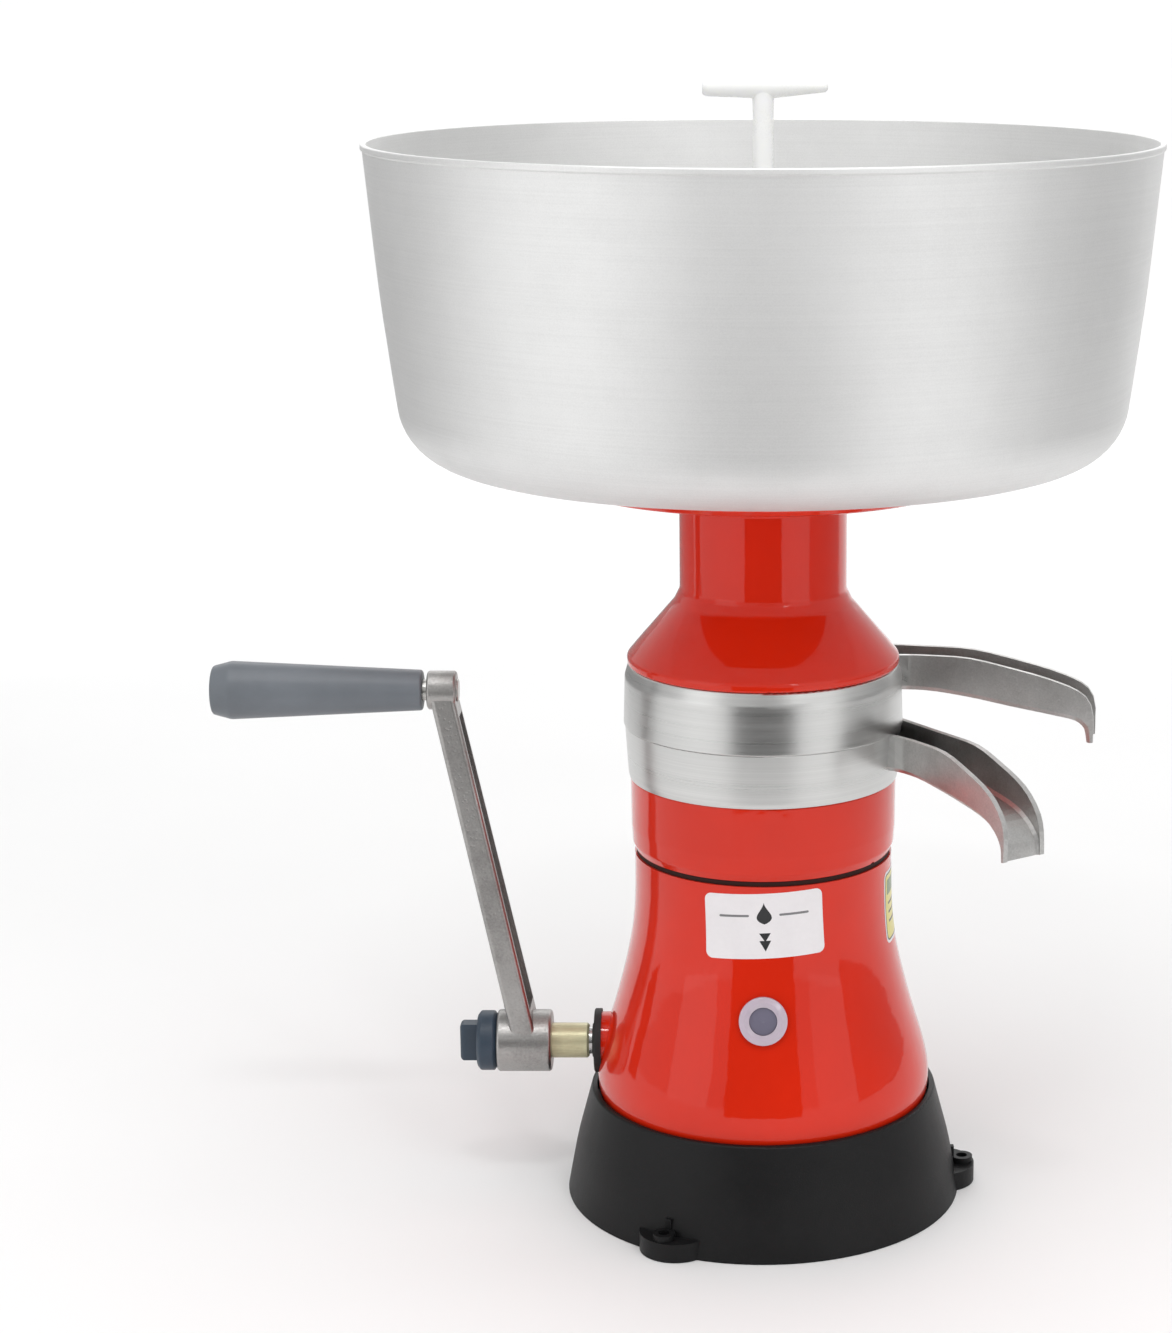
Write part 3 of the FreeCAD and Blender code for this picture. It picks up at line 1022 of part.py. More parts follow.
bar = turned("bar", [
    (0, 0), (3.6, 0, 1.2), (4.5, 2.0, 2.0), (5.2, left - 6.0, 12.0), (5.6, left, 12.0), (5.2, left + 6.0, 12.0),
    (2.7, left + right - 1.2, 1.0), (1.6, left + right, 0.6), (0, left + right),
], PLACE(V(-left.value, 0, N["handle_height"]), ROT(V(0, 1, 0), 90)))
collar = turned("collar", [
    (D["stem_radius"] - 0.6, 516.0), (D["stem_radius"], 516.0), (5.0, 528.0), (D["stem_radius"] - 0.6, 528.0)])
plug_body = fused("plug_body", [stem, collar, bar])
keep(cut("plug", plug_body, [rod("plug_port", 2.4, 20.0, V(0, 0, N["port_height"]), V(0, -1, 0))]), "valve_plug")

# ---- stickers ----------------------------------------------------------------------------------------


def sticker(label, low, high, centre, half_angle, lift):
    """A thin patch that follows the flare of the housing."""
    curve = flare_curve(0)
    steps = [low + (high - low) * i / 8 for i in range(9)]
    rows = [(curve_radius(curve, z), z) for z in steps]
    inner = [(r + lift, 0, z) for r, z in rows]
    outer = [(r + lift + N["label_thickness"], 0, z) for r, z in reversed(rows)]
    return shaped(label, revolve_wire(chain(inner + outer + inner[:1]), 2 * half_angle, centre - half_angle))


def curve_radius(curve, z):
    """Radius of the housing's outside at a height."""
    a, b = curve.FirstParameter, curve.LastParameter
    for _ in range(50):
        middle = (a + b) / 2
        if curve.value(middle).z < z:
            a = middle
        else:
            b = middle
    return curve.value((a + b) / 2).x


keep(sticker("front_sticker", 136.0, 170.0, -89.0, 29.0, 0.03), "front_label")
keep(sticker("side_sticker", 130.0, 167.0, 0.0, 22.0, 0.03), "side_label")

# ---- checks and export -------------------------------------------------------------------------------
doc.recompute()
for obj in doc.Objects:
    if "Invalid" in obj.State or "Error" in obj.State:
        raise RuntimeError(f"{obj.Label} is {obj.State}")
os.makedirs("parts", exist_ok=True)
for obj in NODES:
    shape = obj.Shape
    if shape.isNull() or not shape.isValid():
        raise RuntimeError(f"{obj.Label} has no valid shape")
    shape.exportStep(f"parts/{obj.Label}.step")
print(len(NODES), "nodes")
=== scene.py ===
import json
import math

import bmesh
import bpy
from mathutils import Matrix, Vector
from mathutils.bvhtree import BVHTree


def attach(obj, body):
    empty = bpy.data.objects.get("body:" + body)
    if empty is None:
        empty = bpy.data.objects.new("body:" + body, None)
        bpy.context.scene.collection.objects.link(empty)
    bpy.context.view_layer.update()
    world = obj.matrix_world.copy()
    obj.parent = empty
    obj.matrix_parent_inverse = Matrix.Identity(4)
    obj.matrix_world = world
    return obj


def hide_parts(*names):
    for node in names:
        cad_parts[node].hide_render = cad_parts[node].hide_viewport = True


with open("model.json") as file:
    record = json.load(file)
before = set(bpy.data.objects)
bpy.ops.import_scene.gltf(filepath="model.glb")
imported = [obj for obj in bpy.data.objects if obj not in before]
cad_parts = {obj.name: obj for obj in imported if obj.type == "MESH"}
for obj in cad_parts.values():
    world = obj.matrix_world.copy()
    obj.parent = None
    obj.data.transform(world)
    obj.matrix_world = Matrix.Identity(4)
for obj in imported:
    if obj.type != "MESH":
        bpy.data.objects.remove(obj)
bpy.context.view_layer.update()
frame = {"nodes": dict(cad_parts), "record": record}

NODES = frame["nodes"]
MM = 0.001

# The A, B and result sockets of a Mix node, by the kind of value that it mixes.
MIX_SOCKETS = {"FLOAT": (2, 3, 0), "RGBA": (6, 7, 2)}
# How much the radius counts beside the height, along the profile of a turned part.
PROFILE_SLANT = 0.6


# ---- shader helpers --------------------------------------------------------------------------------
def shaded(tone, factor):
    return tuple(min(1.0, channel * factor) for channel in tone)


class Surface:
    """A node material, with short ways to add the nodes that it needs."""

    def __init__(self, name, **sockets):
        self.mat = bpy.data.materials.new(name)
        self.mat.use_nodes = True
        self.tree = self.mat.node_tree
        self.bsdf = self.tree.nodes["Principled BSDF"]
        self.set(**sockets)
        self.coord = self.node("ShaderNodeTexCoord").outputs["Object"]
        self.height = None

    def set(self, **sockets):
        for key, value in sockets.items():
            name = key.replace("_", " ").title().replace("Ior", "IOR")
            if name.endswith("Color"):
                value = (*value, 1.0)
            self.bsdf.inputs[name].default_value = value

    def node(self, kind, **settings):
        made = self.tree.nodes.new(kind)
        for key, value in settings.items():
            setattr(made, key, value)
        return made

    def feed(self, socket, value):
        if isinstance(value, bpy.types.NodeSocket):
            self.tree.links.new(value, socket)
        else:
            socket.default_value = value

    def math(self, operation, a, b=0.0):
        made = self.node("ShaderNodeMath", operation=operation)
        self.feed(made.inputs[0], a)
        self.feed(made.inputs[1], b)
        return made.outputs[0]

    def weigh(self, first, *others):
        """The sum of (value, weight) pairs, each value times its weight."""
        total = self.math("MULTIPLY", *first)
        for pair in others:
            total = self.math("ADD", total, self.math("MULTIPLY", *pair))
        return total

    def split(self):
        made = self.node("ShaderNodeSeparateXYZ")
        self.feed(made.inputs[0], self.coord)
        return made.outputs

    def join(self, x, y, z):
        made = self.node("ShaderNodeCombineXYZ")
        for socket, value in zip(made.inputs, (x, y, z)):
            self.feed(socket, value)
        return made.outputs[0]

    def from_axis(self):
        """Distance from the Z axis."""
        x, y = self.split()[:2]
        return self.math("SQRT", self.weigh((x, x), (y, y)))

    def scaled(self, x, y, z):
        made = self.node("ShaderNodeMapping")
        self.feed(made.inputs["Vector"], self.coord)
        made.inputs["Scale"].default_value = (x, y, z)
        return made.outputs[0]

    def noise(self, scale=1.0, detail=3.0, rough=0.5, vector=None):
        made = self.node("ShaderNodeTexNoise")
        self.feed(made.inputs["Vector"], vector or self.coord)
        made.inputs["Scale"].default_value = scale
        made.inputs["Detail"].default_value = detail
        made.inputs["Roughness"].default_value = rough
        return made.outputs["Fac"]

    def cells(self, scale):
        made = self.node("ShaderNodeTexVoronoi")
        self.feed(made.inputs["Vector"], self.coord)
        made.inputs["Scale"].default_value = scale
        return made.outputs["Distance"]

    def lathe(self, pitch, along=4.0):
        """Coordinates for lines left by turning round Z: long round the axis, fine along the profile."""
        x, y, z = self.split()
        profile = self.math("ADD", z, self.math("MULTIPLY", self.from_axis(), PROFILE_SLANT))
        return self.join(self.math("MULTIPLY", x, along), self.math("MULTIPLY", y, along),
                         self.math("MULTIPLY", profile, 1.0 / pitch))

    def comb(self):
        """Smears highlights across the lines that turning round Z leaves."""
        tangent = self.node("ShaderNodeTangent", direction_type="RADIAL", axis="Z")
        self.feed(self.bsdf.inputs["Tangent"], tangent.outputs[0])

    def remap(self, value, low, high, to_low=0.0, to_high=1.0, smooth=False):
        made = self.node("ShaderNodeMapRange", clamp=True)
        if smooth:
            made.interpolation_type = "SMOOTHSTEP"
        for socket, number in zip(made.inputs, (value, low, high, to_low, to_high)):
            self.feed(socket, number)
        return made.outputs[0]

    def ramp(self, value, *stops):
        """Colour by value, with stops of (place, colour)."""
        made = self.node("ShaderNodeValToRGB")
        self.feed(made.inputs[0], value)
        elements = made.color_ramp.elements
        while len(elements) < len(stops):
            elements.new(0.5)
        for element, (place, colour) in zip(elements, stops):
            element.position = place
            element.color = (*colour, 1.0)
        return made.outputs[0]

    def mix(self, factor, a, b, kind="FLOAT"):
        """Value a where factor is 0, b where it is 1."""
        first, second, result = MIX_SOCKETS[kind]
        made = self.node("ShaderNodeMix", data_type=kind)
        self.feed(made.inputs["Factor"], factor)
        self.feed(made.inputs[first], a)
        self.feed(made.inputs[second], b)
        return made.outputs[result]

    def colour(self, value):
        self.feed(self.bsdf.inputs["Base Color"], value)

    def roughness(self, value):
        self.feed(self.bsdf.inputs["Roughness"], value)

    def bump(self, value, depth):
        """Adds a relief of this depth, in millimetres, on top of the earlier ones."""
        made = self.node("ShaderNodeBump")
        made.inputs["Strength"].default_value = 1.0
        made.inputs["Distance"].default_value = depth * MM
        self.feed(made.inputs["Height"], value)
        if self.height is not None:
            self.feed(made.inputs["Normal"], self.height)
        self.height = made.outputs[0]
        self.feed(self.bsdf.inputs["Normal"], self.height)


# ---- materials -------------------------------------------------------------------------------------
def enamel(name, tone):
    """Glossy paint over a smooth skin, with a faint orange peel and a slightly uneven tone."""
    s = Surface(name, roughness=0.34, specular_ior_level=0.05,
                coat_weight=1.0, coat_roughness=0.05, coat_ior=1.42)
    s.colour(s.ramp(s.noise(scale=14.0, detail=4.0), (0.3, shaded(tone, 0.86)), (0.7, tone)))
    s.bump(s.noise(scale=260.0, detail=1.0), depth=0.03)
    s.bump(s.noise(scale=45.0, detail=2.0), depth=0.12)
    s.feed(s.bsdf.inputs["Coat Normal"], s.height)
    return s.mat


def turning(s, pitch, band_pitch):
    """The fine lines and the broader bands that a lathe leaves."""
    lines = s.noise(detail=4.0, rough=0.62, vector=s.lathe(pitch))
    bands = s.noise(detail=3.0, rough=0.6, vector=s.lathe(band_pitch, along=1.5))
    return lines, bands


def turned(name, tone, rough, pitch):
    """Metal from a lathe: fine lines round the axis, with bands of slightly different sheen."""
    s = Surface(name, metallic=1.0, anisotropic=0.6, anisotropic_rotation=0.25)
    s.comb()
    lines, bands = turning(s, pitch, pitch * 14)
    cloud = s.noise(scale=22.0, detail=5.0, rough=0.6)
    mixed = s.weigh((lines, 0.5), (bands, 0.5))
    shade = s.weigh((mixed, 0.7), (cloud, 0.3))
    s.colour(s.ramp(shade, (0.32, shaded(tone, 0.84)), (0.55, tone), (0.75, shaded(tone, 1.07))))
    s.roughness(s.remap(mixed, 0.3, 0.7, rough * 0.78, rough * 1.28))
    s.bump(lines, depth=0.02)
    return s.mat


def spun(name, tone):
    """Satin spun sheet: faint fine rings, a soft bloom and a fine etched grain."""
    s = Surface(name, metallic=1.0, anisotropic=0.25, anisotropic_rotation=0.25)
    s.comb()
    rings = s.noise(detail=5.0, rough=0.6, vector=s.lathe(pitch=1.0 * MM, along=7.0))
    bloom = s.noise(scale=16.0, detail=6.0, rough=0.62)
    etch = s.noise(scale=1500.0, detail=2.0, rough=0.6)
    shade = s.weigh((rings, 0.25), (bloom, 0.45), (etch, 0.30))
    s.colour(s.ramp(shade, (0.34, shaded(tone, 0.93)), (0.52, tone), (0.68, shaded(tone, 1.05))))
    s.roughness(s.remap(shade, 0.35, 0.65, 0.58, 0.52))
    s.bump(rings, depth=0.004)
    s.bump(etch, depth=0.01)
    return s.mat


def cast(name, tone, rough, grain):
    """Cast metal, tumbled and rubbed: fine pitting, cloudy tone and a few scratches."""
    s = Surface(name, metallic=1.0)
    cloud = s.noise(scale=38.0, detail=6.0, rough=0.62)
    fine = s.noise(scale=grain, detail=2.0, rough=0.6)
    pits = s.remap(s.cells(grain * 0.55), 0.0, 0.35)
    scratch = s.noise(detail=2.0, vector=s.scaled(40.0, 700.0, 900.0))
    worn = s.weigh((cloud, 0.65), (fine, 0.35))
    s.colour(s.ramp(worn, (0.3, shaded(tone, 0.66)), (0.52, tone), (0.72, shaded(tone, 1.16))))
    s.roughness(s.remap(worn, 0.3, 0.7, rough * 1.25, rough * 0.8))
    s.bump(cloud, depth=0.30)
    s.bump(pits, depth=0.06)
    s.bump(scratch, depth=0.03)
    return s.mat


def collector(name, tone, ring_radius, spout_radius):
    """A collector: its ring is turned, and its spout beyond the ring is as cast and rubbed."""
    s = Surface(name, metallic=1.0)
    outside = s.remap(s.from_axis(), ring_radius, spout_radius, smooth=True)

    lines, bands = turning(s, 0.42 * MM, 5.0 * MM)
    mixed = s.weigh((lines, 0.45), (bands, 0.55))
    ring_tone = s.ramp(mixed, (0.3, shaded(tone, 0.86)), (0.55, tone), (0.74, shaded(tone, 1.12)))
    ring_gloss = s.remap(mixed, 0.3, 0.7, 0.24, 0.36)

    cloud = s.noise(scale=42.0, detail=6.0, rough=0.62)
    fine = s.noise(scale=1100.0, detail=2.0, rough=0.6)
    pits = s.remap(s.cells(620.0), 0.0, 0.35)
    worn = s.weigh((cloud, 0.7), (fine, 0.3))
    spout_tone = s.ramp(worn, (0.3, (0.38, 0.375, 0.365)), (0.5, (0.52, 0.515, 0.505)),
                        (0.7, (0.66, 0.65, 0.64)))
    spout_gloss = s.remap(worn, 0.3, 0.7, 0.46, 0.32)

    s.colour(s.mix(outside, ring_tone, spout_tone, kind="RGBA"))
    s.roughness(s.mix(outside, ring_gloss, spout_gloss))
    s.bump(s.mix(outside, s.math("MULTIPLY", lines, 0.09), s.weigh((cloud, 1.0), (pits, 0.2))), depth=0.25)
    return s.mat


def plastic(name, tone, rough, grain, depth, spread=0.12, shine=0.45, **sockets):
    """Moulded plastic with a fine spark-eroded grain and slightly uneven tone."""
    s = Surface(name, specular_ior_level=shine, **sockets)
    cloud = s.noise(scale=30.0, detail=5.0, rough=0.6)
    texture = s.noise(scale=grain, detail=2.0, rough=0.6)
    s.colour(s.ramp(cloud, (0.3, shaded(tone, 1.0 - spread)), (0.7, shaded(tone, 1.0 + spread))))
    s.roughness(s.remap(s.weigh((cloud, 0.6), (texture, 0.4)), 0.3, 0.7, rough * 0.85, rough * 1.15))
    s.bump(texture, depth)
    return s.mat


def plated(name, dark, light, rough, metallic=1.0):
    """Plated or passivated steel: thin cloudy film with fine scratches."""
    s = Surface(name, metallic=metallic)
    cloud = s.noise(scale=60.0, detail=5.0, rough=0.65)
    scratch = s.noise(detail=2.0, vector=s.scaled(120.0, 1500.0, 1500.0))
    film = s.weigh((cloud, 0.7), (scratch, 0.3))
    s.colour(s.ramp(film, (0.3, dark), (0.68, light)))
    s.roughness(s.remap(film, 0.3, 0.7, rough * 1.2, rough * 0.8))
    s.bump(scratch, depth=0.02)
    return s.mat


def printed(name, tone, rough=0.34, spread=0.03):
    """Printed and varnished paper: a faint fibre and a slightly uneven print."""
    s = Surface(name, specular_ior_level=0.4, coat_weight=0.4, coat_roughness=0.14)
    fibre = s.noise(scale=420.0, detail=4.0, rough=0.65)
    cloud = s.noise(scale=60.0)
    shade = s.weigh((fibre, 0.5), (cloud, 0.5))
    s.colour(s.ramp(shade, (0.3, shaded(tone, 1.0 - 2.0 * spread)), (0.7, tone)))
    s.roughness(s.remap(fibre, 0.3, 0.7, rough * 1.2, rough * 0.85))
    s.bump(fibre, depth=0.01)
    return s.mat


# Metals. Pitches and radii are in metres.
RED = enamel("red_enamel", (0.690, 0.020, 0.003))
RING = turned("turned_aluminium", (0.74, 0.74, 0.73), rough=0.26, pitch=0.4 * MM)
FINE_ALUMINIUM = turned("drum_aluminium", (0.72, 0.72, 0.71), rough=0.30, pitch=0.5 * MM)
BOWL = spun("spun_aluminium", (0.80, 0.80, 0.795))
CASTING = cast("cast_aluminium", (0.40, 0.39, 0.38), rough=0.38, grain=900.0)
COLLECTOR = collector("collector_aluminium", (0.64, 0.64, 0.63),
                      ring_radius=72.2 * MM, spout_radius=74.8 * MM)
OLIVE = plated("olive_steel", (0.46, 0.43, 0.26), (0.72, 0.69, 0.46), rough=0.34, metallic=0.35)
STEEL = plated("bright_steel", (0.42, 0.42, 0.42), (0.64, 0.63, 0.62), rough=0.26)
ZINC = plated("zinc_steel", (0.40, 0.40, 0.39), (0.62, 0.61, 0.58), rough=0.34)
BRONZE = plated("bronze", (0.38, 0.22, 0.09), (0.62, 0.40, 0.19), rough=0.32)

# Plastics and rubbers. Grain is a noise scale, and depth is in millimetres.
BLACK = plastic("black_stand", (0.0075, 0.0075, 0.0080), rough=0.46, grain=1500.0, depth=0.08,
                spread=0.2, shine=0.22)
GRIP = plastic("grey_grip", (0.135, 0.150, 0.168), rough=0.40, grain=1300.0, depth=0.03)
KNOB = plastic("blue_knob", (0.030, 0.048, 0.072), rough=0.42, grain=1300.0, depth=0.04, spread=0.2)
WHITE = plastic("white_plastic", (0.99, 0.99, 0.975), rough=0.28, grain=1300.0, depth=0.01, spread=0.03,
                subsurface_weight=0.2, subsurface_radius=(0.004, 0.004, 0.003), subsurface_scale=1.0)
CLEAR = plastic("clear_plastic", (0.50, 0.43, 0.50), rough=0.22, grain=1300.0, depth=0.01, spread=0.04,
                subsurface_weight=0.45, subsurface_radius=(0.004, 0.003, 0.004), subsurface_scale=1.0,
                coat_weight=0.6, coat_roughness=0.05)
LENS = plastic("lens_plastic", (0.150, 0.140, 0.195), rough=0.30, grain=900.0, depth=0.02, spread=0.10,
               coat_weight=0.8, coat_roughness=0.04)
RUBBER = plastic("rubber_black", (0.012, 0.012, 0.012), rough=0.62, grain=900.0, depth=0.05, spread=0.2)
# Painted shade: the casing seal is coloured the dark red that the red groove between the drum casing and
# the gear housing shows in shade.
SEAL_GROOVE_SHADE = plastic("painted_groove_shade", (0.030, 0.008, 0.006), rough=0.60, grain=900.0, depth=0.05,
                    spread=0.2, shine=0.2)
RED_RUBBER = plastic("rubber_red", (0.36, 0.035, 0.02), rough=0.55, grain=900.0, depth=0.04)

# Paper and inks of the stickers.
PAPER = printed("white_sticker", (0.80, 0.77, 0.785))
YELLOW = printed("yellow_sticker", (0.72, 0.62, 0.11))
INK = printed("black_ink", (0.018, 0.018, 0.020), rough=0.42, spread=0.15)
GREY_INK = printed("grey_ink", (0.20, 0.20, 0.205), rough=0.42, spread=0.10)
GREEN_INK = printed("green_ink", (0.16, 0.24, 0.09), rough=0.40, spread=0.10)

finish = {
    "red_enamel": RED, "turned_aluminium": RING, "spun_aluminium": BOWL, "cast_aluminium": CASTING,
    "black_stand": BLACK, "grey_grip": GRIP, "blue_knob": KNOB, "white_plastic": WHITE,
    "clear_plastic": CLEAR, "lens_plastic": LENS, "rubber_black": RUBBER, "rubber_red": RED_RUBBER,
    "white_sticker": PAPER, "yellow_sticker": YELLOW, "olive_steel": OLIVE, "bright_steel": STEEL,
    "zinc_steel": ZINC, "bronze": BRONZE,
}
special = {
    "skim_collector": COLLECTOR, "cream_collector": COLLECTOR, "casing_seal": SEAL_GROOVE_SHADE,
    "drum_base": FINE_ALUMINIUM, "drum_cover": FINE_ALUMINIUM,
}
for part in frame["record"]["subparts"]:
    part_mesh = NODES[part["node"]].data
    part_mesh.materials.clear()
    part_mesh.materials.append(special.get(part["node"]) or finish[part["material_slot"]])

# ---- stickers --------------------------------------------------------------------------------------
RAY_START = 0.3         # metres from the axis, well outside the housing
CORNER_STEPS = 6
SIDE_STEPS = 10
DROP_STEPS = 24
TRIANGLE_STEPS = 12
SHARP_EDGE = 40.0       # degrees

skin = BVHTree.FromObject(NODES["gear_housing"], bpy.context.evaluated_depsgraph_get())


def outward(azimuth):
    """Direction away from the axis. Azimuth 0 is in front, and 90 is to the right."""
    a = math.radians(azimuth)
    return Vector((math.sin(a), -math.cos(a), 0.0))


def skin_radius(azimuth, height):
    """Radius of the housing's outside at an azimuth in degrees and a height in metres."""
    out = outward(azimuth)
    point = skin.ray_cast(out * RAY_START + Vector((0.0, 0.0, height)), -out)[0]
    return math.hypot(point.x, point.y)


def rounded(width, height, corner):
    """Rows (v, left, right) of a rectangle with rounded corners, in millimetres."""
    straight = height / 2 - corner
    rises = [corner * math.sin(math.pi / 2 * i / CORNER_STEPS) for i in range(CORNER_STEPS + 1)]
    top = [straight + rise for rise in reversed(rises)]
    middle = [straight * (1 - 2 * i / SIDE_STEPS) for i in range(1, SIDE_STEPS)]
    bottom = [-v for v in reversed(top)]
    rows = []
    for v in top + middle + bottom:
        past = max(0.0, abs(v) - straight)
        half = width / 2 - corner + math.sqrt(max(0.0, corner * corner - past * past))
        rows.append((v, -half, half))
    return rows


def drop(width, height, tip=0.02):
    """Rows of a drop with its point up. Both ends are as wide as the tip, so that no edge vanishes."""
    rows = []
    for i in range(DROP_STEPS + 1):
        t = i / DROP_STEPS
        half = width / 2 * math.sin(math.pi * t ** 1.9) ** 0.8 if 0 < t < 1 else tip
        rows.append((height * (0.5 - t), -half, half))
    return rows


def triangle(width, height, tip=0.01):
    """Rows of a triangle with its point down."""
    rows = []
    for i in range(TRIANGLE_STEPS + 1):
        t = i / TRIANGLE_STEPS
        half = width / 2 * (1 - t) + tip
        rows.append((height / 2 - height * t, -half, half))
    return rows


def shifted(rows, du, dv):
    return [(v + dv, left + du, right + du) for v, left, right in rows]


def sheet_points(rows, place, lift, columns):
    """Points on the housing's outside, lifted off it by so many millimetres, for each row."""
    azimuth, height, tilt = place
    turn = math.radians(tilt)
    base = skin_radius(azimuth, height)
    sheet = []
    for v, left, right in rows:
        line = []
        for i in range(columns + 1):
            u = left + (right - left) * i / columns
            across = (u * math.cos(turn) - v * math.sin(turn)) * MM
            up = height + (u * math.sin(turn) + v * math.cos(turn)) * MM
            at = azimuth + math.degrees(across / base)
            line.append(outward(at) * (skin_radius(at, up) + lift * MM) + Vector((0.0, 0.0, up)))
        sheet.append(line)
    return sheet


def decal(name, rows, ink, place, level, thick, columns=64):
    """A thin film on the housing, with rows in millimetres about its place (azimuth, height, tilt)."""
    shape = bmesh.new()
    top, under = (
        [[shape.verts.new(point) for point in line] for line in sheet_points(rows, place, lift, columns)]
        for lift in (level + thick, level)
    )
    last = len(rows) - 1
    for j in range(last):
        for i in range(columns):
            shape.faces.new((top[j][i], top[j + 1][i], top[j + 1][i + 1], top[j][i + 1]))
            shape.faces.new((under[j][i], under[j][i + 1], under[j + 1][i + 1], under[j + 1][i]))
        shape.faces.new((top[j][0], under[j][0], under[j + 1][0], top[j + 1][0]))
        shape.faces.new((top[j][columns], top[j + 1][columns], under[j + 1][columns], under[j][columns]))
    for i in range(columns):
        shape.faces.new((top[0][i], top[0][i + 1], under[0][i + 1], under[0][i]))
        shape.faces.new((top[last][i], under[last][i], under[last][i + 1], top[last][i + 1]))
    bmesh.ops.recalc_face_normals(shape, faces=shape.faces)
    mesh = bpy.data.meshes.new(name)
    shape.to_mesh(mesh)
    shape.free()
    mesh.polygons.foreach_set("use_smooth", [True] * len(mesh.polygons))
    mesh.set_sharp_from_angle(angle=math.radians(SHARP_EDGE))
    mesh.materials.append(ink)
    made = bpy.data.objects.new(name, mesh)
    bpy.context.scene.collection.objects.link(made)
    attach(made, "frame")
    return made


# Where a sticker's centre is: azimuth in degrees, height in metres, and tilt in degrees.
FRONT = (0.6, 153.0 * MM, 2.4)
SIDE = (90.0, 148.0 * MM, 0.0)
# Millimetres: the gap under the paper, the paper's thickness, and the thickness of one layer of ink.
GAP = 0.02
FILM = 0.10
LAYER = 0.02

front_paper = decal("front_sticker_paper", rounded(56.0, 31.0, 3.2), PAPER, FRONT, GAP, FILM)
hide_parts("front_label")
for label, rows, ink in (
    ("front_drop", shifted(drop(7.0, 10.5), 0.0, 6.0), INK),
    ("front_bar_left", shifted(rounded(14.0, 1.1, 0.5), -14.0, 5.0), GREY_INK),
    ("front_bar_right", shifted(rounded(14.0, 1.1, 0.5), 14.0, 5.0), GREY_INK),
    ("front_arrow_top", shifted(triangle(5.4, 4.2), 0.0, -5.6), INK),
    ("front_arrow_low", shifted(triangle(5.4, 5.0), 0.0, -9.6), INK),
):
    decal(label, rows, ink, FRONT, GAP + FILM, LAYER, columns=16)

side_paper = decal("side_sticker_paper", rounded(46.0, 35.0, 3.6), PAPER, SIDE, GAP, FILM)
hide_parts("side_label")
for label, rows, ink, layers_under in (
    ("side_border", rounded(43.6, 32.6, 2.8), INK, 0),
    ("side_field", rounded(42.0, 31.0, 2.2), YELLOW, 1),
    ("side_band", shifted(rounded(38.0, 7.5, 1.0), 0.0, 9.4), GREEN_INK, 2),
    ("side_line_1", shifted(rounded(34.0, 1.2, 0.5), 0.0, 1.2), INK, 2),
    ("side_line_2", shifted(rounded(34.0, 1.2, 0.5), 0.0, -3.2), INK, 2),
    ("side_line_3", shifted(rounded(34.0, 1.2, 0.5), 0.0, -7.6), INK, 2),
):
    decal(label, rows, ink, SIDE, GAP + FILM + layers_under * LAYER, LAYER)

# ---- floor -----------------------------------------------------------------------------------------
FLOOR_RADIUS = 60.0
FLOOR_DROP = 0.0002                 # metres under the stand, so that the two don't flicker
# Painted light: the floor paper glows, from nothing near the object up to GLOW far away, so the far floor
# looks as lit as the floor near the object.
GLOW_FROM, GLOW_TO = 0.6, 3.4       # the floor's glow grows between these distances, away from the object
GLOW = 0.40

floor_mesh = bpy.data.meshes.new("floor")
disc = bmesh.new()
bmesh.ops.create_circle(disc, cap_ends=True, segments=96, radius=FLOOR_RADIUS)
disc.to_mesh(floor_mesh)
disc.free()
floor = bpy.data.objects.new("floor", floor_mesh)
bpy.context.scene.collection.objects.link(floor)
floor.location.z = -FLOOR_DROP
paper_roll = Surface("floor_paper", roughness=0.75, specular_ior_level=0.2, emission_color=(1.0, 1.0, 1.0))
# Painted light: the floor's glow, growing with distance from the object.
glow = paper_roll.remap(paper_roll.from_axis(), GLOW_FROM, GLOW_TO, 0.0, GLOW, smooth=True)
paper_roll.feed(paper_roll.bsdf.inputs["Emission Strength"], glow)
cloudy = paper_roll.noise(scale=3.0, detail=2.0)
paper_roll.colour(paper_roll.ramp(cloudy, (0.3, (0.86,) * 3), (0.7, (0.88,) * 3)))
floor_mesh.materials.append(paper_roll.mat)

# ---- light -----------------------------------------------------------------------------------------
WORLD_STRENGTH = 0.70
LIGHT_AIM = Vector((0.0, 0.0, 0.28))
CARD_COLUMNS = 12

world = bpy.data.worlds.new("studio")
world.use_nodes = True
sky = world.node_tree.nodes["Background"]
sky.inputs["Color"].default_value = (1.0, 1.0, 1.0, 1.0)
sky.inputs["Strength"].default_value = WORLD_STRENGTH
bpy.context.scene.world = world


def softbox(name, place, width, height, power):
    """An area light that looks at the object, with sizes in metres and power in watts."""
    data = bpy.data.lights.new(name, "AREA")
    data.shape = "RECTANGLE"
    data.size = width
    data.size_y = height
    data.energy = power
    made = bpy.data.objects.new(name, data)
    made.location = place
    made.rotation_euler = (LIGHT_AIM - Vector(place)).to_track_quat("-Z", "Y").to_euler()
    made.visible_camera = False
    bpy.context.scene.collection.objects.link(made)


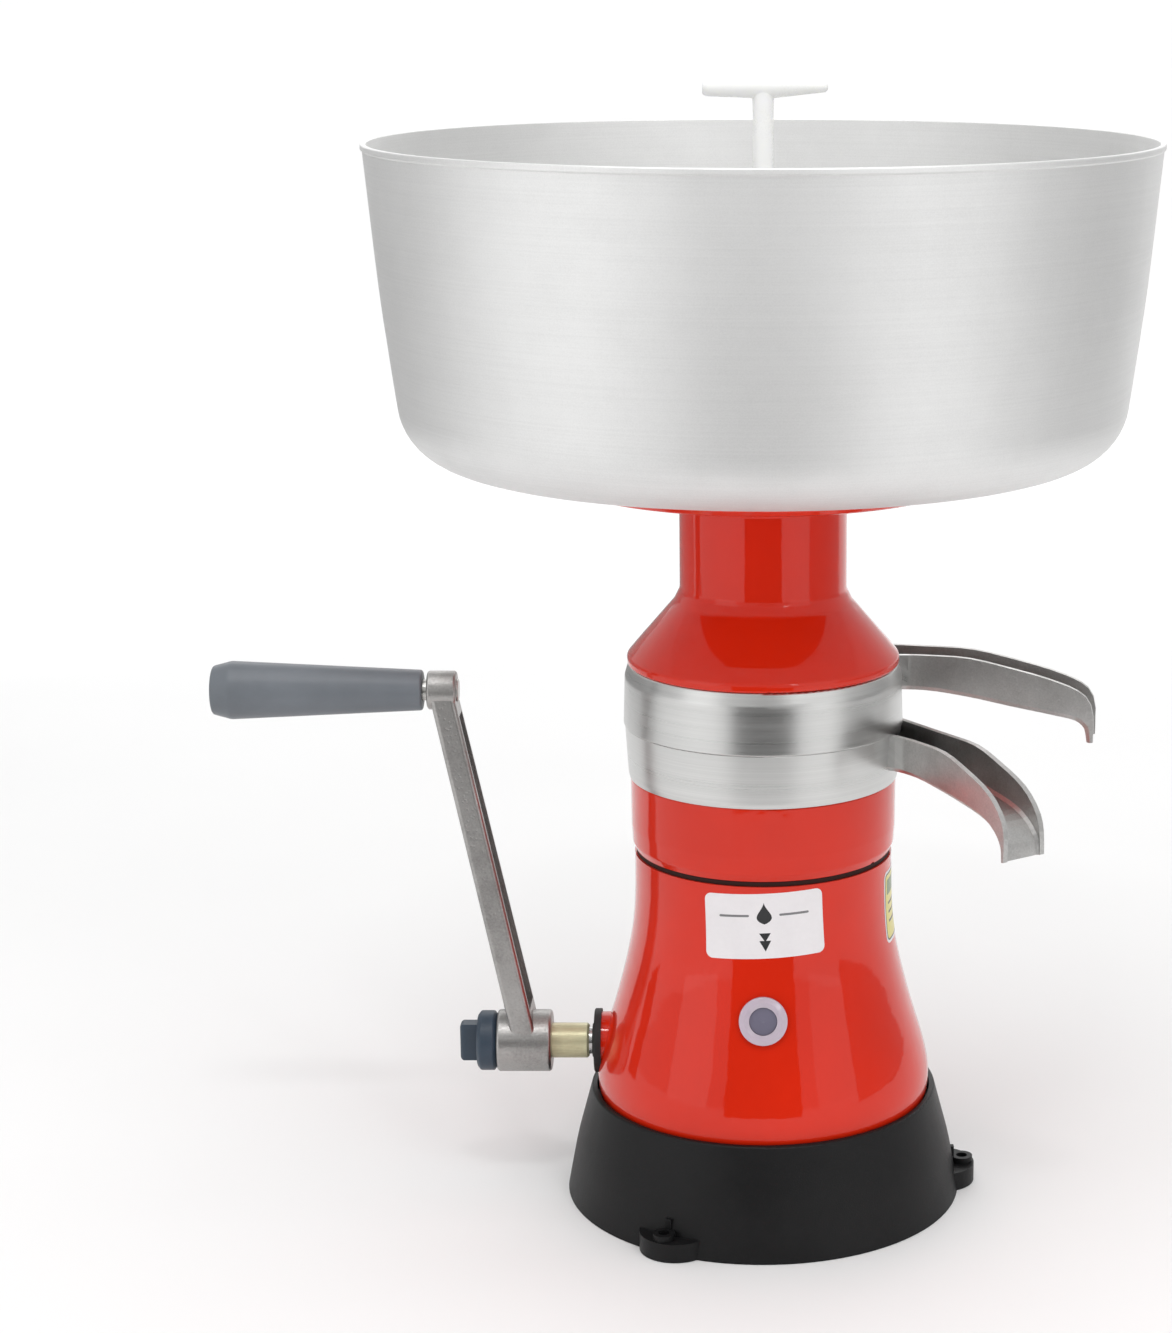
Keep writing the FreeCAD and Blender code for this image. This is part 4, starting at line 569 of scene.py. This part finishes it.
def card(name, azimuth, distance, width, low, high, shade):
    """A matte flag round the object, from one height to another, that shows only in reflections."""
    shape = bmesh.new()
    rows = []
    for i in range(CARD_COLUMNS + 1):
        swing = math.degrees((i / CARD_COLUMNS - 0.5) * width / distance)
        foot = outward(azimuth + swing) * distance
        rows.append([shape.verts.new(foot + Vector((0.0, 0.0, z))) for z in (low, high)])
    for (low_0, high_0), (low_1, high_1) in zip(rows, rows[1:]):
        shape.faces.new((low_0, low_1, high_1, high_0))
    mesh = bpy.data.meshes.new(name)
    shape.to_mesh(mesh)
    shape.free()
    made = bpy.data.objects.new(name, mesh)
    made.visible_camera = False
    made.visible_diffuse = False
    made.visible_transmission = False
    made.visible_shadow = False
    bpy.context.scene.collection.objects.link(made)
    cloth = Surface(name + "_cloth", roughness=0.9, specular_ior_level=0.0)
    weave = cloth.noise(scale=40.0, detail=2.0)
    cloth.colour(cloth.ramp(weave, (0.3, (shade * 0.9,) * 3), (0.7, (shade,) * 3)))
    mesh.materials.append(cloth.mat)


# name, place, width, height, power
for light in (
    ("left_box", (-1.75, -1.35, 0.95), 1.3, 1.9, 4.6),
    ("right_box", (1.75, -1.35, 0.95), 1.3, 1.9, 2.8),
    ("top_box", (0.0, -0.5, 2.3), 2.2, 1.8, 21.0),
    ("back_box", (0.0, 2.2, 1.3), 2.6, 1.4, 12.0),
    ("strip_box", (0.62, -1.16, 1.25), 0.16, 0.9, 2.0),
    ("glint_box", (-0.06, -1.05, 2.05), 0.34, 0.10, 3.2),
):
    softbox(*light)

# name, azimuth, distance, width, low, high, shade
for flag in (
    ("front_flag", 0.0, 0.72, 0.62, 0.0, 0.30, 0.03),
    ("high_flag", 4.0, 1.9, 0.8, 0.45, 1.2, 0.45),
    ("left_flag", -100.0, 1.2, 0.20, 0.0, 0.50, 0.05),
    ("left_back_flag", -140.0, 1.2, 1.3, 0.0, 0.45, 0.34),
    ("right_flag", 95.0, 1.2, 1.25, 0.0, 0.45, 0.34),
):
    card(*flag)

# ---- camera ----------------------------------------------------------------------------------------
CAMERA_PLACE = (0.0, -1.32894, 0.58614)
LOOKS_DOWN = 13.7                   # degrees below level
SENSOR = 36.0                       # millimetres
FOCAL_LENGTH = 78.2386              # millimetres
SHIFT = (-0.132933, -0.001875)      # in picture heights, as the photograph's framing needs

camera_data = bpy.data.cameras.new("camera")
camera = bpy.data.objects.new("camera", camera_data)
bpy.context.scene.collection.objects.link(camera)
camera.location = CAMERA_PLACE
camera.rotation_euler = (math.radians(90.0 - LOOKS_DOWN), 0.0, 0.0)
camera_data.sensor_width = SENSOR
camera_data.sensor_fit = "AUTO"
camera_data.lens = FOCAL_LENGTH
camera_data.shift_x, camera_data.shift_y = SHIFT
camera_data.clip_start = 0.05
camera_data.clip_end = 300.0
bpy.context.scene.camera = camera
bpy.context.scene.view_settings.view_transform = "Standard"
bpy.context.scene.view_settings.look = "None"
